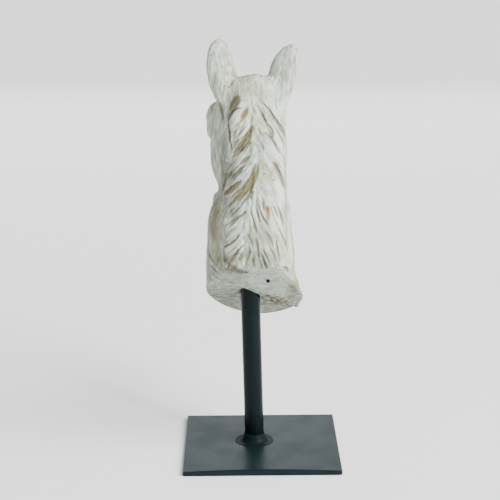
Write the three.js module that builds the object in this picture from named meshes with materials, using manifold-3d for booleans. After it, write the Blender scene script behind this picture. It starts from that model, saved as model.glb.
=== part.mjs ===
// A weathered carved horse head on a steel post, welded to a square steel plate.
// The horse faces -Y, its left side is +X, and the plate lies flat on z = 0.
import * as THREE from "three";
import { mergeVertices, toCreasedNormals } from "three/addons/utils/BufferGeometryUtils.js";
import Module from "manifold-3d";

const manifold = await Module();
manifold.setup();

// Driving sizes, in millimetres and degrees.
const GAP = 0.3;
const PLATE = { side: 150, edge: 3.7, crown: 2.2, corner: 1.5, bevel: 0.5 };
const POST = { radius: 9.3, x: 6.6, y: -3.2, lean: 1.24, top: 231.7 };
const WELD = { height: 9, skirt: 10, curve: 2.2, lip: 0.5, steps: 7 };
const SOCKET = { radius: 10.5, top: 232 };
const DRILL = { radius: 1.5, x: -6.3, y: 34.9, z: 178.5, depth: 14, tilt: 14 };

// How the head is carried: the poll is the top of the skull, and the long axis
// of the face drops from it by the pitch, turned and tipped a little to the left.
const POLL = { x: 7.5, y: -13, z: 346.5 };
const CARRIAGE = { pitch: 52, turn: 6, roll: 3.5 };

// The neck in level sections: height, then reach to the back, front, left and right.
const NECK = [
  [90, 60, 78, 46, 66],
  [130, 59, 74, 51, 53],
  [150, 58, 71, 52.5, 42.5],
  [170, 57, 67, 52.5, 34.5],
  [205, 54, 60, 51, 31.5],
  [236, 48, 53, 48.5, 28.5],
  [258, 43, 49, 39, 25.5],
  [290, 33, 46, 33, 21.5],
  [315, 20, 45, 30, 19.5],
  [340, 2, 44, 26, 16],
];
const NECK_TOP = 350;

// The sloping saw cut under the neck: its height on the axis, its rise to the back and to the left.
const CUT = { height: 159, back: 0.6167, left: 0.03 };

// Right of the post the cut broke off lower: across, back edge of the break, and how far it hangs.
const LEDGE = [
  [-60, -66, 0],
  [-37, -45, 1],
  [-24, -29, 3],
  [-14, -19, 5.7],
  [-1.3, -5, 5.6],
  [4, 4, 4.8],
  [10, 8.2, 3.3],
  [22, 13, 0],
  [60, 20, 0],
];

const MANE = { x: 6, lift: 5, top: 350, narrow: 13, wide: 29 };

// Ears: foot, tip, half width, half thickness and the way the hollow faces.
const EARS = [
  { foot: [28.5, -14, 334], tip: [38.8, -20, 398], width: 14.6, thick: 7.5, face: 28, belly: 2 },
  { foot: [-15, -14, 331], tip: [-32.4, -18, 392.5], width: 13.8, thick: 7.5, face: -28, belly: 3.2 },
];

// Gouge cuts between the locks of the mane, top to bottom, left side then right side:
// side and height of the start, run to the side, drop, bow, half width, depth.
const LOCKS = [
  [19, 347, 6.5, 13, 0, 5, 2],
  [16, 340, 13.5, 15, 2.3, 3.6, 2.2],
  [12, 334, 7, 9, 1, 4, 1.8],
  [17, 318, 8, 12, 0, 3.2, 1.6],
  [8, 322, 18, 26, -2.6, 6, 2.6],
  [10, 297, 15, 14, -1, 4.2, 2],
  [6, 291, 23, 40, -6, 6.5, 3],
  [19, 277, 12, 15, 0.5, 4.6, 2.4],
  [13, 250, 17, 18, 1, 4, 2.2],
  [16, 233, 19, 18, -1.5, 4.6, 2.6],
  [15, 221, 13, 17, 0, 4.6, 2.6],
  [3, 341, -8, 19, 0, 4, 2],
  [-5, 340, -19, 30, 2.5, 4, 2.2],
  [-4, 316, -12, 16, 1, 4, 1.8],
  [-8, 321, -3, 10, 0, 4, 1.8],
  [-11, 291, -11, 25, 0, 4.2, 2.2],
  [8, 256, -5.5, 21, -0.5, 3.2, 1.6],
  [2, 255, -6.5, 19, -0.5, 3.2, 1.4],
  [-5, 252, -2, 16, 0, 4.2, 1.6],
  [-10, 252, -10.5, 24, 1, 3.6, 1.4],
  [-5, 229, -6, 10, 0, 3.2, 1.4],
  [2, 216, -8, 20, 0, 3.6, 1.4],
];

// The poll between the ears: a short level bar.
const CROWN = { left: [19, -13, 351.4], middle: [4, -13, 354.8], right: [-6, -13, 352.1], radius: 11 };

// Working cell of the carved form, and the size of the thinned mesh.
const CELL = 3;
const HEAD_TRIANGLES = 8000;

const RAD = Math.PI / 180;
const clamp = (v, lo, hi) => Math.min(hi, Math.max(lo, v));

function ease(t) {
  const u = clamp(t, 0, 1);
  return u * u * (3 - 2 * u);
}

// The carved form is a distance field, negative inside. These two join and cut with a fillet k.
function join(a, b, k) {
  const h = clamp(0.5 + (0.5 * (b - a)) / k, 0, 1);
  return b + (a - b) * h - k * h * (1 - h);
}

function carve(a, tool, k) {
  return -join(-a, tool, k);
}

function ellipsoid(p, c, r) {
  const q = [(p[0] - c[0]) / r[0], (p[1] - c[1]) / r[1], (p[2] - c[2]) / r[2]];
  const k0 = Math.hypot(q[0], q[1], q[2]) + 1e-6;
  const k1 = Math.hypot(q[0] / r[0], q[1] / r[1], q[2] / r[2]) + 1e-6;
  return (k0 * (k0 - 1)) / k1;
}

// A round bar from a to b that tapers from radius ra to rb.
function bar(p, a, b, ra, rb) {
  const d = [b[0] - a[0], b[1] - a[1], b[2] - a[2]];
  const e = [p[0] - a[0], p[1] - a[1], p[2] - a[2]];
  const along = (e[0] * d[0] + e[1] * d[1] + e[2] * d[2]) / (d[0] ** 2 + d[1] ** 2 + d[2] ** 2);
  const t = clamp(along, 0, 1);
  return Math.hypot(e[0] - t * d[0], e[1] - t * d[1], e[2] - t * d[2]) - (ra + (rb - ra) * t);
}

// Turns a pair of coordinates by an angle.
function turned(u, v, degrees) {
  const c = Math.cos(degrees * RAD);
  const s = Math.sin(degrees * RAD);
  return [c * u + s * v, c * v - s * u];
}

// Smooth curve through one column of the neck sections.
function reach(column, z) {
  const last = NECK.length - 1;
  const h = clamp(z, NECK[0][0], NECK[last][0]);
  let i = 0;
  while (i < last - 1 && h > NECK[i + 1][0]) i++;
  const slope = (j) => {
    const lo = NECK[Math.max(j - 1, 0)];
    const hi = NECK[Math.min(j + 1, last)];
    return (hi[column] - lo[column]) / (hi[0] - lo[0]);
  };
  const step = NECK[i + 1][0] - NECK[i][0];
  const t = (h - NECK[i][0]) / step;
  const blend = t * t * (3 - 2 * t);
  const start = (t ** 3 - 2 * t * t + t) * step * slope(i);
  const end = (t ** 3 - t * t) * step * slope(i + 1);
  return NECK[i][column] * (1 - blend) + NECK[i + 1][column] * blend + start + end;
}

function neck(p) {
  const [x, y, z] = p;
  const left = ease((x + 18) / 36);
  const rear = ease((y + 18) / 36);
  const rx = reach(4, z) * (1 - left) + reach(3, z) * left;
  const ry = reach(2, z) * (1 - rear) + reach(1, z) * rear;
  const keel = ease((235 - z) / 90) * ease(-y / 30) * (0.65 - 0.35 * left);
  const n = 2.25 - keel;
  const k = ((Math.abs(x) / rx) ** n + (Math.abs(y) / ry) ** n + 1e-9) ** (1 / n);
  return carve((k - 1) * Math.min(rx, ry) * 1.15, NECK_TOP - z, 22);
}

// Coordinates along the face from the poll, up from its axis, and to its left.
function onFace(p) {
  const [across, up] = turned(p[0] - POLL.x, p[2] - POLL.z, CARRIAGE.roll);
  const [c, y] = turned(across, p[1] - POLL.y, CARRIAGE.turn);
  const [f, g] = [Math.cos(CARRIAGE.pitch * RAD), Math.sin(CARRIAGE.pitch * RAD)];
  const wider = 1 - 0.06 * ease(-c / 12); // the right half is carved a little wider
  return [-f * y - g * up, f * up - g * y, c * wider];
}

function skull(h) {
  const s = [h[0], h[1], Math.abs(h[2])];
  let d = ellipsoid(h, [30, 1, 0], [44, 30, 32.5]);
  d = join(d, bar(h, [48, 2, 0], [124, 0, 0], 30, 18), 12);
  d = join(d, bar(s, [54, 20, 6], [150, 13, 3], 10, 8.5), 9);
  d = join(d, ellipsoid(h, [158, -3, 0], [28, 21, 20]), 12);
  d = join(d, ellipsoid(h, [176, -5, 0], [12, 14, 15]), 6);
  d = join(d, ellipsoid(h, [166, -20, 0], [13, 8.5, 12]), 3.5);
  d = join(d, ellipsoid(h, [155, -24, 0], [10, 8, 9.5]), 6);
  d = join(d, bar(s, [62, -34, 12], [148, -17, 5], 14, 9), 9);
  d = join(d, ellipsoid(s, [50, -25, 17.5], [40, 36, 17]), 9);
  d = join(d, ellipsoid(s, [46, 13, 25.5], [20, 12, 12.5]), 9);
  d = join(d, bar(s, [68, -5, 25.5], [110, -9, 16.5], 5.5, 3), 9);
  d = carve(d, ellipsoid(s, [27, 25, 29], [10, 8, 6.5]), 6);
  d = carve(d, ellipsoid(s, [59, 4, 42], [13, 9, 7]), 5);
  d = carve(d, ellipsoid(s, [120, 3, 24], [28, 8, 6.5]), 8);
  return mouth(nostril(eye(d, s), s), h);
}

// An eyeball behind lids that part in an almond.
function eye(d, s) {
  const [u, v] = turned(s[0] - 57, s[1] - 6.5, -12);
  const ball = Math.hypot(u, v, s[2] - 28);
  const almond = Math.max(Math.hypot(u, v + 6), Math.hypot(u, v - 6)) - 11;
  const lids = carve(ball - 10.2, almond, 0.8);
  return join(join(d, lids, 2.5), ball - 8.8, 0.8);
}

function nostril(d, s) {
  const [u, v] = turned(s[0] - 167, s[1] - 3, -40);
  const rim = join(d, ellipsoid([u, v, s[2]], [0, 0, 14.5], [12, 8.5, 7.5]), 4);
  return carve(rim, ellipsoid([u, v, s[2]], [0.5, 0, 21.5], [8, 4, 7]), 2);
}

function mouth(d, h) {
  const line = Math.abs(h[1] + 12 + 0.06 * (h[0] - 165)) - 1.9;
  return carve(d, Math.max(line, 146 - h[0], -(d + 2.6)), 1.6);
}

function cross(a, b) {
  return [a[1] * b[2] - a[2] * b[1], a[2] * b[0] - a[0] * b[2], a[0] * b[1] - a[1] * b[0]];
}

// Axes of an ear: its length, up it, across it, and out of its hollow.
function earAxes({ foot, tip, face }) {
  const run = [tip[0] - foot[0], tip[1] - foot[1], tip[2] - foot[2]];
  const length = Math.hypot(run[0], run[1], run[2]);
  const up = run.map((v) => v / length);
  const ahead = [Math.sin(face * RAD), -Math.cos(face * RAD), 0];
  const lift = ahead[0] * up[0] + ahead[1] * up[1];
  const lean = ahead.map((v, i) => v - lift * up[i]);
  const size = Math.hypot(lean[0], lean[1], lean[2]);
  const out = lean.map((v) => v / size);
  return { length, up, out, side: cross(up, out) };
}

function ear(p, shape, axes) {
  const q = [p[0] - shape.foot[0], p[1] - shape.foot[1], p[2] - shape.foot[2]];
  const on = (v) => q[0] * v[0] + q[1] * v[1] + q[2] * v[2];
  const e = [on(axes.side), on(axes.out), on(axes.up)];
  const [w, t, long] = [shape.width, shape.thick, axes.length];
  const share = clamp(e[2] / long, 0, 1);
  e[0] -= shape.belly * 4 * share * (1 - share);
  const leaf = ellipsoid(e, [0, 0, 0.52 * long], [w, t, 0.48 * long]);
  const root = bar(e, [0, 0, -4], [0, 0, 0.35 * long], 9, 0.75 * w);
  const hollow = ellipsoid(e, [0, 1.15 * t, 0.5 * long], [0.72 * w, 1.1 * t, 0.4 * long]);
  return carve(join(leaf, root, 6), hollow, 1.5);
}

// How far the broken part hangs below the plane of the saw cut.
function ledgeDrop(x, y) {
  const i = Math.max(1, LEDGE.findIndex((row) => row[0] >= x));
  const [a, b] = [LEDGE[i - 1], LEDGE[i]];
  const t = clamp((x - a[0]) / (b[0] - a[0]), 0, 1);
  const behind = y - (a[1] + (b[1] - a[1]) * t);
  return (a[2] + (b[2] - a[2]) * t) * ease(behind / 2.2 + 0.5) * ease((50 - y) / 40);
}

// Distance below the cut face.
function underCut(p) {
  const [nx, ny, nz] = [CUT.left, CUT.back, -1];
  const low = p[2] - CUT.height + ledgeDrop(p[0], p[1]);
  return (p[0] * nx + p[1] * ny + low * nz) / Math.hypot(nx, ny, nz);
}

// The mane is a raised band along the crest that runs out onto the poll.
function mane(p, neckDistance) {
  const low = clamp((345 - p[2]) / 50, 0, 1);
  const half = MANE.narrow + (MANE.wide - MANE.narrow) * low ** 0.6;
  const lift = MANE.lift * ease((352 - p[2]) / 50);
  let d = carve(neckDistance - lift, half - Math.abs(p[0] - MANE.x), 5);
  d = carve(d, p[1] + 2, 6);
  return carve(d, MANE.top - p[2], 14);
}

// Each gouge cut follows a bowed line over the crest and is deepest half way.
function gouges() {
  return LOCKS.map(([x, z, run, drop, bow, width, depth]) => {
    const size = Math.hypot(run, drop);
    const away = [(Math.sign(run) * drop) / size, Math.abs(run) / size];
    const mid = [x + run / 2 + 2 * bow * away[0], z - drop / 2 + 2 * bow * away[1]];
    const at = (t) => {
      const [a, b, c] = [(1 - t) ** 2, 2 * t * (1 - t), t * t];
      return [a * x + b * mid[0] + c * (x + run), a * z + b * mid[1] + c * (z - drop)];
    };
    return { at, width, depth };
  });
}

const GOUGES = gouges();

function gougeDepth(p) {
  if (p[1] < -5 || p[2] < 185) return 0;
  let deepest = 0;
  for (const { at, width, depth } of GOUGES) {
    const [start, end] = [at(0), at(1)];
    if (p[2] > start[1] + width || p[2] < end[1] - width) continue;
    let nearest = 9;
    for (let i = 0; i < 6; i++) {
      const [a, b] = [at(i / 6), at((i + 1) / 6)];
      const [dx, dz] = [b[0] - a[0], b[1] - a[1]];
      const t = clamp(((p[0] - a[0]) * dx + (p[2] - a[1]) * dz) / (dx * dx + dz * dz), 0, 1);
      const whole = (i + t) / 6;
      const spread = width * Math.sqrt(Math.max(4 * whole * (1 - whole), 0.04));
      nearest = Math.min(nearest, Math.hypot(p[0] - a[0] - t * dx, p[2] - a[1] - t * dz) / spread);
    }
    deepest = Math.max(deepest, depth * clamp(1 - nearest * nearest, 0, 1) ** 1.5);
  }
  return deepest;
}

const EAR_AXES = EARS.map(earAxes);

function horse(x, y, z) {
  const p = [x, y, z];
  const plain = neck(p);
  let d = join(plain, skull(onFace(p)), 9);
  const { left, middle, right, radius } = CROWN;
  const crown = Math.min(bar(p, left, middle, radius, radius), bar(p, middle, right, radius, radius));
  d = join(d, crown, 6);
  EARS.forEach((shape, i) => {
    d = join(d, ear(p, shape, EAR_AXES[i]), 5);
  });
  d = join(d, mane(p, plain), 3) + gougeDepth(p);
  return carve(d, -underCut(p), 2);
}

// Closed mesh of the zero level of a field: one point in each cell it crosses,
// and one quad round each grid edge it crosses.
function skin(field, low, high, cell) {
  const n = low.map((v, i) => Math.ceil((high[i] - v) / cell) + 1);
  const at = (i, j, k) => (i * n[1] + j) * n[2] + k;
  const strides = [n[1] * n[2], n[2], 1];
  const values = new Float32Array(n[0] * n[1] * n[2]);
  for (let i = 0; i < n[0]; i++) {
    for (let j = 0; j < n[1]; j++) {
      for (let k = 0; k < n[2]; k++) {
        values[at(i, j, k)] = field(low[0] + i * cell, low[1] + j * cell, low[2] + k * cell);
      }
    }
  }
  unpinch(values, strides);
  const pointOf = new Int32Array(values.length).fill(-1);
  const points = [];
  const faces = [];
  for (let i = 0; i < n[0] - 1; i++) {
    for (let j = 0; j < n[1] - 1; j++) {
      for (let k = 0; k < n[2] - 1; k++) {
        const middle = crossing(values, at(i, j, k), strides);
        if (!middle) continue;
        pointOf[at(i, j, k)] = points.length / 3;
        points.push(low[0] + (i + middle[0]) * cell);
        points.push(low[1] + (j + middle[1]) * cell);
        points.push(low[2] + (k + middle[2]) * cell);
      }
    }
  }
  for (let c = 0; c < values.length; c++) {
    for (let axis = 0; axis < 3; axis++) {
      const next = c + strides[axis];
      if (next >= values.length || values[c] < 0 === values[next] < 0) continue;
      const [u, v] = [strides[(axis + 1) % 3], strides[(axis + 2) % 3]];
      const ring = [c - u - v, c - v, c, c - u].map((q) => pointOf[q]);
      if (values[c] >= 0) ring.reverse();
      faces.push(ring[0], ring[1], ring[2], ring[0], ring[2], ring[3]);
    }
  }
  return { points: Float64Array.from(points), faces: Int32Array.from(faces) };
}

// Two empty corners on a diagonal through a full cell, or two full ones through an empty cell,
// would pinch the surface to a point. Filling one empty corner opens that out too.
function unpinchCorners(values, [x, y, z]) {
  const corners = [0, x, y, x + y, z, x + z, y + z, x + y + z];
  let changed = false;
  for (let c = 0; c + x + y + z < values.length; c++) {
    const empty = corners.filter((o) => values[c + o] >= 0);
    if (empty.length !== 2 && empty.length !== 6) continue;
    const pair = empty.length === 2 ? empty : corners.filter((o) => values[c + o] < 0);
    if (pair[0] + pair[1] !== x + y + z) continue;
    const fill = empty.reduce((a, b) => (values[c + a] < values[c + b] ? a : b));
    values[c + fill] = -0.05;
    changed = true;
  }
  return changed;
}

// Where the two diagonals of a grid square disagree, the surface would pinch to a line.
// Filling the shallower of the two empty corners opens it out.
function unpinch(values, strides) {
  const outside = (i) => values[i] >= 0;
  for (let changed = true; changed; ) {
    changed = false;
    for (let axis = 0; axis < 3; axis++) {
      const [u, v] = [strides[(axis + 1) % 3], strides[(axis + 2) % 3]];
      for (let c = 0; c + u + v < values.length; c++) {
        const across = outside(c) === outside(c + u + v) && outside(c + u) === outside(c + v);
        if (!across || outside(c) === outside(c + u)) continue;
        const empty = outside(c) ? [c, c + u + v] : [c + u, c + v];
        const fill = values[empty[0]] < values[empty[1]] ? empty[0] : empty[1];
        values[fill] = -0.05;
        changed = true;
      }
    }
    changed = unpinchCorners(values, strides) || changed;
  }
}

// Mean of the crossings on the twelve edges of a cell, or nothing if there are none.
function crossing(values, corner, strides) {
  const sum = [0, 0, 0];
  let count = 0;
  for (let axis = 0; axis < 3; axis++) {
    const [u, v] = [(axis + 1) % 3, (axis + 2) % 3];
    for (let side = 0; side < 4; side++) {
      const [du, dv] = [side & 1, side >> 1];
      const start = corner + du * strides[u] + dv * strides[v];
      const [a, b] = [values[start], values[start + strides[axis]]];
      if (a < 0 === b < 0) continue;
      sum[axis] += a / (a - b);
      sum[u] += du;
      sum[v] += dv;
      count++;
    }
  }
  return count ? sum.map((s) => s / count) : null;
}

// Moves each point along the slope of the field until it lies on the surface.
function settle(field, points) {
  const e = 0.25;
  for (let round = 0; round < 2; round++) {
    for (let i = 0; i < points.length; i += 3) {
      const [x, y, z] = [points[i], points[i + 1], points[i + 2]];
      const f = field(x, y, z);
      const g = [field(x + e, y, z) - f, field(x, y + e, z) - f, field(x, y, z + e) - f];
      const steep = (g[0] ** 2 + g[1] ** 2 + g[2] ** 2) / (e * e);
      const move = clamp(f, -1, 1) / Math.max(steep, 0.3) / e;
      for (let a = 0; a < 3; a++) points[i + a] -= move * g[a];
    }
  }
}

// Smallest first, for the edges waiting to be closed.
class Queue {
  constructor() {
    this.items = [];
  }
  push(item) {
    const list = this.items;
    let i = list.length;
    list.push(item);
    while (i > 0) {
      const up = (i - 1) >> 1;
      if (list[up].cost <= item.cost) break;
      list[i] = list[up];
      i = up;
    }
    list[i] = item;
  }
  pop() {
    const list = this.items;
    const top = list[0];
    const item = list.pop();
    if (!list.length) return top;
    let i = 0;
    for (;;) {
      let child = 2 * i + 1;
      if (child >= list.length) break;
      if (child + 1 < list.length && list[child + 1].cost < list[child].cost) child++;
      if (list[child].cost >= item.cost) break;
      list[i] = list[child];
      i = child;
    }
    list[i] = item;
    return top;
  }
}

// Thins a closed mesh by closing its cheapest edges, where the cost of a point
// is its squared distance from the planes of the triangles it has replaced.
class Thinner {
  constructor({ points, faces }) {
    this.points = points;
    this.faces = faces;
    this.count = faces.length / 3;
    this.round = Array.from({ length: points.length / 3 }, () => new Set());
    this.stamp = new Int32Array(points.length / 3);
    this.planes = new Float64Array((points.length / 3) * 10);
    for (let f = 0; f < this.count; f++) {
      const n = this.normal(f, -1, null);
      const area = Math.hypot(n[0], n[1], n[2]) || 1e-9;
      const [a, b, c] = n.map((v) => v / area);
      const p = 3 * faces[3 * f];
      const d = -(a * points[p] + b * points[p + 1] + c * points[p + 2]);
      const terms = [a * a, a * b, a * c, a * d, b * b, b * c, b * d, c * c, c * d, d * d];
      for (let i = 0; i < 3; i++) {
        const v = faces[3 * f + i];
        this.round[v].add(f);
        terms.forEach((t, j) => (this.planes[10 * v + j] += (t * area) / 2));
      }
    }
    this.queue = new Queue();
    this.round.forEach((_, v) => this.wait(v, true));
  }

  normal(f, moved, to) {
    const corner = (i) => {
      const v = this.faces[3 * f + i];
      if (v === moved) return to;
      return [this.points[3 * v], this.points[3 * v + 1], this.points[3 * v + 2]];
    };
    const [a, b, c] = [corner(0), corner(1), corner(2)];
    return cross([b[0] - a[0], b[1] - a[1], b[2] - a[2]], [c[0] - a[0], c[1] - a[1], c[2] - a[2]]);
  }

  neighbours(v) {
    const found = new Set();
    for (const f of this.round[v]) {
      for (let i = 0; i < 3; i++) found.add(this.faces[3 * f + i]);
    }
    found.delete(v);
    return found;
  }

  wait(v, onlyHigher) {
    for (const w of this.neighbours(v)) {
      if (onlyHigher && w < v) continue;
      this.queue.push(this.offer(v, w));
    }
  }

  offer(v, w) {
    const q = [];
    for (let j = 0; j < 10; j++) q.push(this.planes[10 * v + j] + this.planes[10 * w + j]);
    const a = [0, 1, 2].map((i) => this.points[3 * v + i]);
    const b = [0, 1, 2].map((i) => this.points[3 * w + i]);
    const half = a.map((s, i) => (s + b[i]) / 2);
    const length = Math.hypot(a[0] - b[0], a[1] - b[1], a[2] - b[2]);
    const error = ([x, y, z]) =>
      q[0] * x * x + q[4] * y * y + q[7] * z * z + q[9] +
      2 * (q[1] * x * y + q[2] * x * z + q[5] * y * z + q[3] * x + q[6] * y + q[8] * z);
    const tries = [half, a, b];
    const best = lowest(q);
    if (best && Math.hypot(best[0] - half[0], best[1] - half[1], best[2] - half[2]) < length) {
      tries.push(best);
    }
    const [cost, to] = tries.map((t) => [error(t), t]).reduce((m, t) => (t[0] < m[0] ? t : m));
    const stamps = [this.stamp[v], this.stamp[w]];
    return { cost: Math.max(cost, 0) + 0.002 * length ** 3, v, w, to, stamps };
  }

  // An edge may close if its ends share just two neighbours, neither of which would be left
  // with two triangles back to back, and if no triangle turns over.
  allowed({ v, w, to }) {
    const shared = this.neighbours(v);
    const common = [...this.neighbours(w)].filter((n) => shared.has(n));
    if (common.length !== 2 || common.some((n) => this.round[n].size <= 3)) return false;
    for (const [end, other] of [[v, w], [w, v]]) {
      for (const f of this.round[end]) {
        if (this.round[other].has(f)) continue;
        const [m, n] = [this.normal(f, -1, null), this.normal(f, end, to)];
        const sizes = Math.hypot(m[0], m[1], m[2]) * Math.hypot(n[0], n[1], n[2]);
        if (m[0] * n[0] + m[1] * n[1] + m[2] * n[2] < 0.35 * sizes) return false;
        if (Math.hypot(n[0], n[1], n[2]) < 0.3) return false;
      }
    }
    return true;
  }

  close({ v, w, to }) {
    for (const f of [...this.round[w]]) {
      if (this.round[v].has(f)) {
        for (let i = 0; i < 3; i++) this.round[this.faces[3 * f + i]].delete(f);
        this.count--;
        continue;
      }
      const corner = this.faces.indexOf(w, 3 * f);
      this.faces[corner] = v;
      this.round[v].add(f);
    }
    this.round[w].clear();
    for (let j = 0; j < 10; j++) this.planes[10 * v + j] += this.planes[10 * w + j];
    for (let i = 0; i < 3; i++) this.points[3 * v + i] = to[i];
    this.stamp[v]++;
    this.stamp[w]++;
    this.wait(v, false);
  }

  thin(target) {
    while (this.count > target && this.queue.items.length) {
      const next = this.queue.pop();
      if (this.stamp[next.v] !== next.stamps[0] || this.stamp[next.w] !== next.stamps[1]) continue;
      if (this.round[next.w].size && this.allowed(next)) this.close(next);
    }
    const numbers = new Map();
    const kept = new Set(this.round.flatMap((faces) => [...faces]));
    const [points, index] = [[], []];
    for (const f of kept) {
      for (let i = 0; i < 3; i++) {
        const v = this.faces[3 * f + i];
        if (!numbers.has(v)) {
          numbers.set(v, numbers.size);
          points.push(...this.points.slice(3 * v, 3 * v + 3));
        }
        index.push(numbers.get(v));
      }
    }
    return indexed(points, index);
  }
}

// The point with the least sum of squared plane distances, unless the planes are nearly parallel.
function lowest(q) {
  const m = new THREE.Matrix3().set(q[0], q[1], q[2], q[1], q[4], q[5], q[2], q[5], q[7]);
  const scale = q[0] + q[4] + q[7];
  if (Math.abs(m.determinant()) < 1e-5 * scale ** 3) return null;
  const p = new THREE.Vector3(-q[3], -q[6], -q[8]).applyMatrix3(m.invert());
  return p.toArray();
}

function indexed(points, index) {
  const geometry = new THREE.BufferGeometry();
  geometry.setAttribute("position", new THREE.BufferAttribute(Float32Array.from(points), 3));
  geometry.setIndex(new THREE.BufferAttribute(Uint32Array.from(index), 1));
  return geometry;
}

function toSolid(geometry) {
  const bare = new THREE.BufferGeometry();
  bare.setAttribute("position", geometry.getAttribute("position"));
  bare.setIndex(geometry.index);
  const merged = mergeVertices(bare, 1e-4);
  return new manifold.Manifold(
    new manifold.Mesh({
      numProp: 3,
      vertProperties: merged.attributes.position.array,
      triVerts: new Uint32Array(merged.index.array),
    }),
  );
}

function toGeometry(solid) {
  const { vertProperties, triVerts } = solid.getMesh();
  return indexed(vertProperties, triVerts);
}

// A round bar upright on z, then leaned to the left by shear so that its ends stay level.
function leaningBar(radius, low, high, sides) {
  const geometry = new THREE.CylinderGeometry(radius, radius, high - low, sides);
  geometry.rotateX(Math.PI / 2);
  geometry.translate(POST.x, POST.y, (low + high) / 2);
  const slope = Math.tan(POST.lean * RAD);
  const lean = new THREE.Matrix4().set(1, 0, slope, 0, 0, 1, 0, 0, 0, 0, 1, 0, 0, 0, 0, 1);
  return geometry.applyMatrix4(lean);
}

function drillHole() {
  const geometry = new THREE.CylinderGeometry(DRILL.radius, DRILL.radius, 2 * DRILL.depth, 12);
  geometry.rotateX(DRILL.tilt * RAD);
  return geometry.translate(DRILL.x, DRILL.y, DRILL.z);
}

function headGeometry() {
  const form = skin(horse, [-58, -142, 96], [66, 74, 408], CELL);
  settle(horse, form.points);
  const carved = toSolid(new Thinner(form).thin(HEAD_TRIANGLES));
  const socket = toSolid(leaningBar(SOCKET.radius, 60, SOCKET.top, 28));
  const cuts = [socket, toSolid(drillHole())];
  return toGeometry(cuts.reduce((solid, tool) => solid.subtract(tool), carved));
}

// The top of the plate rises in the middle of its rear edge and is flat along its front edge.
function plateTop(x, y) {
  const half = PLATE.side / 2;
  const arch = 1 - Math.min(1, (x / half) ** 2);
  return PLATE.edge + PLATE.crown * arch * clamp((y + half) / PLATE.side, 0, 1);
}

// A square loop with small rounded corners, shrunk by the bevel.
function plateLoop(inset) {
  const half = PLATE.side / 2;
  const [cornerSteps, sideSteps] = [3, 11];
  const loop = [];
  for (let side = 0; side < 4; side++) {
    const quarter = (side * Math.PI) / 2;
    const reachOut = half - PLATE.corner;
    for (let i = 0; i <= cornerSteps; i++) {
      const a = quarter + (i / cornerSteps) * (Math.PI / 2);
      const centre = new THREE.Vector2(reachOut, reachOut).rotateAround(new THREE.Vector2(), quarter);
      const r = PLATE.corner - inset;
      loop.push(new THREE.Vector2(centre.x + r * Math.cos(a), centre.y + r * Math.sin(a)));
    }
    for (let i = 1; i < sideSteps; i++) {
      const t = reachOut - (2 * reachOut * i) / sideSteps;
      loop.push(new THREE.Vector2(t, half - inset).rotateAround(new THREE.Vector2(), quarter));
    }
  }
  return loop;
}

// The plate is rings of points: underside, edge, bevel, then smaller squares up to the middle.
function plateGeometry() {
  const rings = [];
  const add = (loop, shrink, height) => {
    rings.push(loop.map((p) => [p.x * shrink, p.y * shrink, height(p.x * shrink, p.y * shrink)]));
  };
  const [outer, inner] = [plateLoop(0), plateLoop(PLATE.bevel)];
  add(inner, 1, () => 0);
  add(outer, 1, () => PLATE.bevel);
  add(outer, 1, (x, y) => plateTop(x, y) - PLATE.bevel);
  for (const shrink of [1, 0.75, 0.5, 0.25]) add(inner, shrink, plateTop);
  const points = [[0, 0, 0], ...rings.flat(), [0, 0, plateTop(0, 0)]];
  const size = outer.length;
  const at = (ring, i) => 1 + ring * size + (i % size);
  const index = [];
  for (let i = 0; i < size; i++) {
    index.push(0, at(0, i + 1), at(0, i));
    index.push(points.length - 1, at(rings.length - 1, i), at(rings.length - 1, i + 1));
    for (let r = 0; r < rings.length - 1; r++) {
      index.push(at(r, i), at(r, i + 1), at(r + 1, i + 1));
      index.push(at(r, i), at(r + 1, i + 1), at(r + 1, i));
    }
  }
  return indexed(points.flat(), index);
}

// The post stands a hair above the plate, and the head rests on its top end.
function postGeometry() {
  const foot = plateTop(POST.x, POST.y + POST.radius) + GAP;
  return leaningBar(POST.radius, foot, POST.top, 40);
}

// A hollow-faced ring of weld that follows the plate and runs up the post.
function weldGeometry() {
  const inside = POST.radius + GAP;
  const profile = [new THREE.Vector2(inside, 0)];
  for (let i = 0; i <= WELD.steps; i++) {
    const t = i / WELD.steps;
    const rise = WELD.height * (1 - t) ** WELD.curve;
    profile.push(new THREE.Vector2(inside + WELD.lip + (WELD.skirt - WELD.lip) * t, WELD.lip + rise));
  }
  profile.push(new THREE.Vector2(inside + WELD.skirt, 0));
  profile.push(profile[0].clone());
  profile.reverse();
  const geometry = new THREE.LatheGeometry(profile, 36);
  geometry.rotateX(Math.PI / 2);
  const position = geometry.attributes.position;
  for (let i = 0; i < position.count; i++) {
    const z = position.getZ(i);
    const shift = Math.tan(POST.lean * RAD) * z;
    const x = POST.x + position.getX(i) + shift;
    const y = POST.y + position.getY(i);
    position.setXYZ(i, x, y, z + plateTop(x, y) + GAP);
  }
  return geometry;
}

function piece(name, geometry, colour, roughness, metalness) {
  const material = new THREE.MeshStandardMaterial({ color: colour, roughness, metalness });
  const mesh = new THREE.Mesh(toCreasedNormals(geometry, 40 * RAD), material);
  mesh.name = name;
  return mesh;
}

const object = new THREE.Group();
object.name = "horse_head_on_stand";
object.add(piece("horse_head", headGeometry(), 0xcdd0c4, 0.85, 0));
object.add(piece("post", postGeometry(), 0x20282a, 0.45, 0.3));
object.add(piece("weld_bead", weldGeometry(), 0x1d2527, 0.5, 0.3));
object.add(piece("base_plate", plateGeometry(), 0x20282a, 0.42, 0.3));

export default object;
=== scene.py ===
"""Looks of the weathered carved horse head on its black steel stand."""
import itertools
import math

import bpy
import numpy as np
from mathutils import Matrix, Vector


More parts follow.
